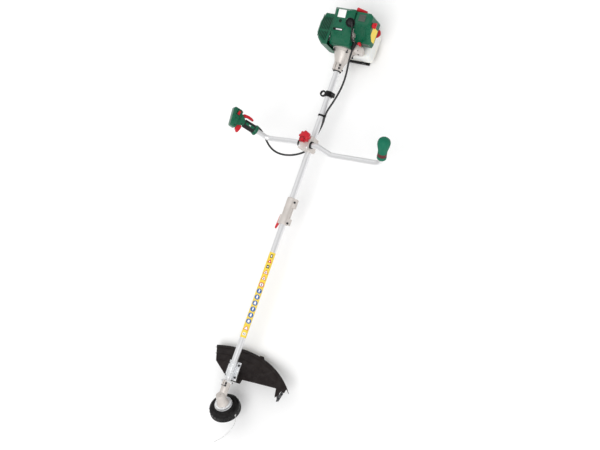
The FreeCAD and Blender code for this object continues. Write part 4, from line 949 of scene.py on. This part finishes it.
def make_left_grip(rubber_finish):
    """Bulb of the left grip with twelve soft flutes round its belly."""
    bm = bmesh.new()
    profile = [(25, 12.6), (25, 16), (29, 19.5), (36, 20.2), (41.6, 20), (41.6, 15.2), (58.4, 15.2),
               (58.4, 19.5), (64, 19.6), (72, 20.5), (80, 22.4), (86, 24), (92, 25.4), (97, 26.5),
               (104, 27), (110, 27), (115, 26), (120, 24), (123.5, 21), (127, 17), (129, 12),
               (130, 6), (130, 0)]
    turned(bm, profile, None, 96)
    for vertex in bm.verts:
        reach = math.hypot(vertex.co.x, vertex.co.y)
        if vertex.co.z > 60 and reach > 15:
            swell = math.sin(math.pi * min(1.0, (vertex.co.z - 60) / 66))
            around = math.atan2(vertex.co.y, vertex.co.x)
            wave = 1 - 0.022 * swell * (1 + math.cos(12 * around))
            vertex.co.x *= wave
            vertex.co.y *= wave
    solid("grip_bulb", bm, rubber_finish, "handlebar", place=GRIP, sharp=50,
          replaces=["left_grip"])


def make_knob_details(red, dark):
    bm = bmesh.new()
    seat = Matrix.Translation((-344, 0, 88.1))
    turned(bm, [(0, 0), (0, 7.4), (2.0, 6.8), (2.6, 5.2), (2.6, 0)], seat, 40)
    for k in range(8):
        turn = seat @ Matrix.Rotation(k * math.pi / 4, 4, "Z")
        slab(bm, strip((6, -0.4), (15.5, -1.2), -1.5, 1.5), 1.9, 0.6, turn)
    solid("knob_face", bm, red, "clamp_knob")
    bm = bmesh.new()
    # dark red sheets in the hollows between the knob's ribs: painted shade in the pockets
    pocket = [(7.8, -1.2, -0.2), (13.0, -2.4, -0.8), (13.0, 2.4, -0.8), (7.8, 1.2, -0.2)]
    for k in range(8):
        turn = seat @ Matrix.Rotation((k + 0.5) * math.pi / 4, 4, "Z")
        slab(bm, pocket, 0.5, 0.0, turn)
    solid("knob_pocket_shade", bm, dark, "clamp_knob")


def make_levers(red):
    """Throttle trigger and lock lever, fuller than their flat cores."""
    width = 12.4
    centred = UPRIGHT @ Matrix.Translation((0, 0, -width / 2))
    trigger = [(13, 148), (22, 151), (42, 147), (53, 134), (50, 129), (32, 125), (19, 125), (12, 140)]
    bm = bmesh.new()
    pushed(bm, trigger, width, 2.0, centred)
    solid("squeeze_trigger", bm, red, "throttle", HANDLE,
          replaces=["throttle_trigger"])
    lever = [(-17, 146), (-18.5, 136), (-25.5, 120), (-25, 92), (-30, 91), (-35, 97), (-38, 116),
             (-34, 140), (-23, 150)]
    bm = bmesh.new()
    pushed(bm, lever, width, 2.0, centred)
    solid("safety_lever", bm, red, "lock", HANDLE, replaces=["lock_lever"])


def make_handle_details(green, black, light):
    bm = bmesh.new()
    for x0, x1 in ((-30, -27), (-8, -5), (14, 17)):  # ribs up the operator's face of the block
        block(bm, (x0, 20.2, 156), (x1, 22.2, 184 - (x0 + 30) * 0.26), 0.8)
    block(bm, (-34, 20.2, 152.5), (36, 22.0, 155.0), 0.8)
    for turn in (0.0, math.pi):         # strips along the grip
        block(bm, (-5.5, 15.5, 76), (5.5, 19.6, 118), 1.2, Matrix.Rotation(turn, 4, "Z"))
    solid("handle_ribs", bm, green, "handlebar", place=HANDLE)
    bm = bmesh.new()
    for x, s in ((4, 169), (32, 160), (12, 134)):
        seat = facing((x, 20.6 if s > 148 else 14.6, s), (0, 1, 0), (1, 0, 0))
        turned(bm, [(0, 0), (0, 3.2), (0.8, 3.0), (0.8, 1.6), (0.2, 1.4), (0.2, 0)], seat, 20)
    solid("handle_screws", bm, black, "handlebar", place=HANDLE)
    bm = bmesh.new()
    for k in range(9):                  # raised bands round the grip sleeve
        z = 5.4 * k
        turned(bm, [(75 + z, 17.0), (75.6 + z, 18.7), (77.4 + z, 18.7), (78 + z, 17.0)], None, 40)
    solid("grip_bands", bm, black, "handlebar", place=HANDLE)
    bm = bmesh.new()
    block(bm, (-2.4, 19.0, 94), (2.4, 20.2, 103), 0.4)
    solid("grip_badge", bm, light, "handlebar", place=HANDLE)


def make_details():
    alloy, zinc, dark = FINISH["cast_alloy"], FINISH["bright_zinc"], FINISH["dark_bolt"]
    green, black, red = FINISH["green_plastic"], FINISH["black_plastic"], FINISH["red_plastic"]
    rubber_black = FINISH["black_rubber"]
    # a darker copy of the red plastic: painted shade for the knob's pockets
    pocket_shade_red = moulded("pocket_shade_red", (0.16, 0.004, 0.008), 0.4, 0.0, 640, 0.0001)
    light = metal("badge_silver", (0.80, 0.80, 0.80), 0.25, 0.4, 900, 0.00005)
    grey = moulded("vent_grey", (0.085, 0.10, 0.085), 0.45, 0.0, 500, 0.0003)
    make_shroud_details(green, black, light, printed("white_label", (0.88, 0.87, 0.86)))
    make_filter_details(green, black, printed("yellow_label", YELLOW), grey)
    make_ignition_lead(cable_sheath(), rubber_black)
    make_engine_screws(dark, black)
    make_tank_details(FINISH["tank_plastic"], rubber_black)
    make_shaft_screws(dark, zinc)
    make_castings(alloy, dark, rubber_black)
    make_cover_ribs(green, black)
    make_gear_case(alloy, zinc, black)
    make_guard(FINISH["guard_plastic"])
    make_cutter(dark)
    make_knob_details(red, pocket_shade_red)
    make_levers(red)
    make_head_details(black, zinc)
    make_left_grip(FINISH["green_rubber"])
    make_handle_details(green, rubber_black, light)


make_camera()
make_finishes()
make_cutting_line(FINISH["line_nylon"])
make_cables(cable_sheath(), FINISH["black_rubber"])
paint_frame()
make_tube_label()
make_details()
make_studio()
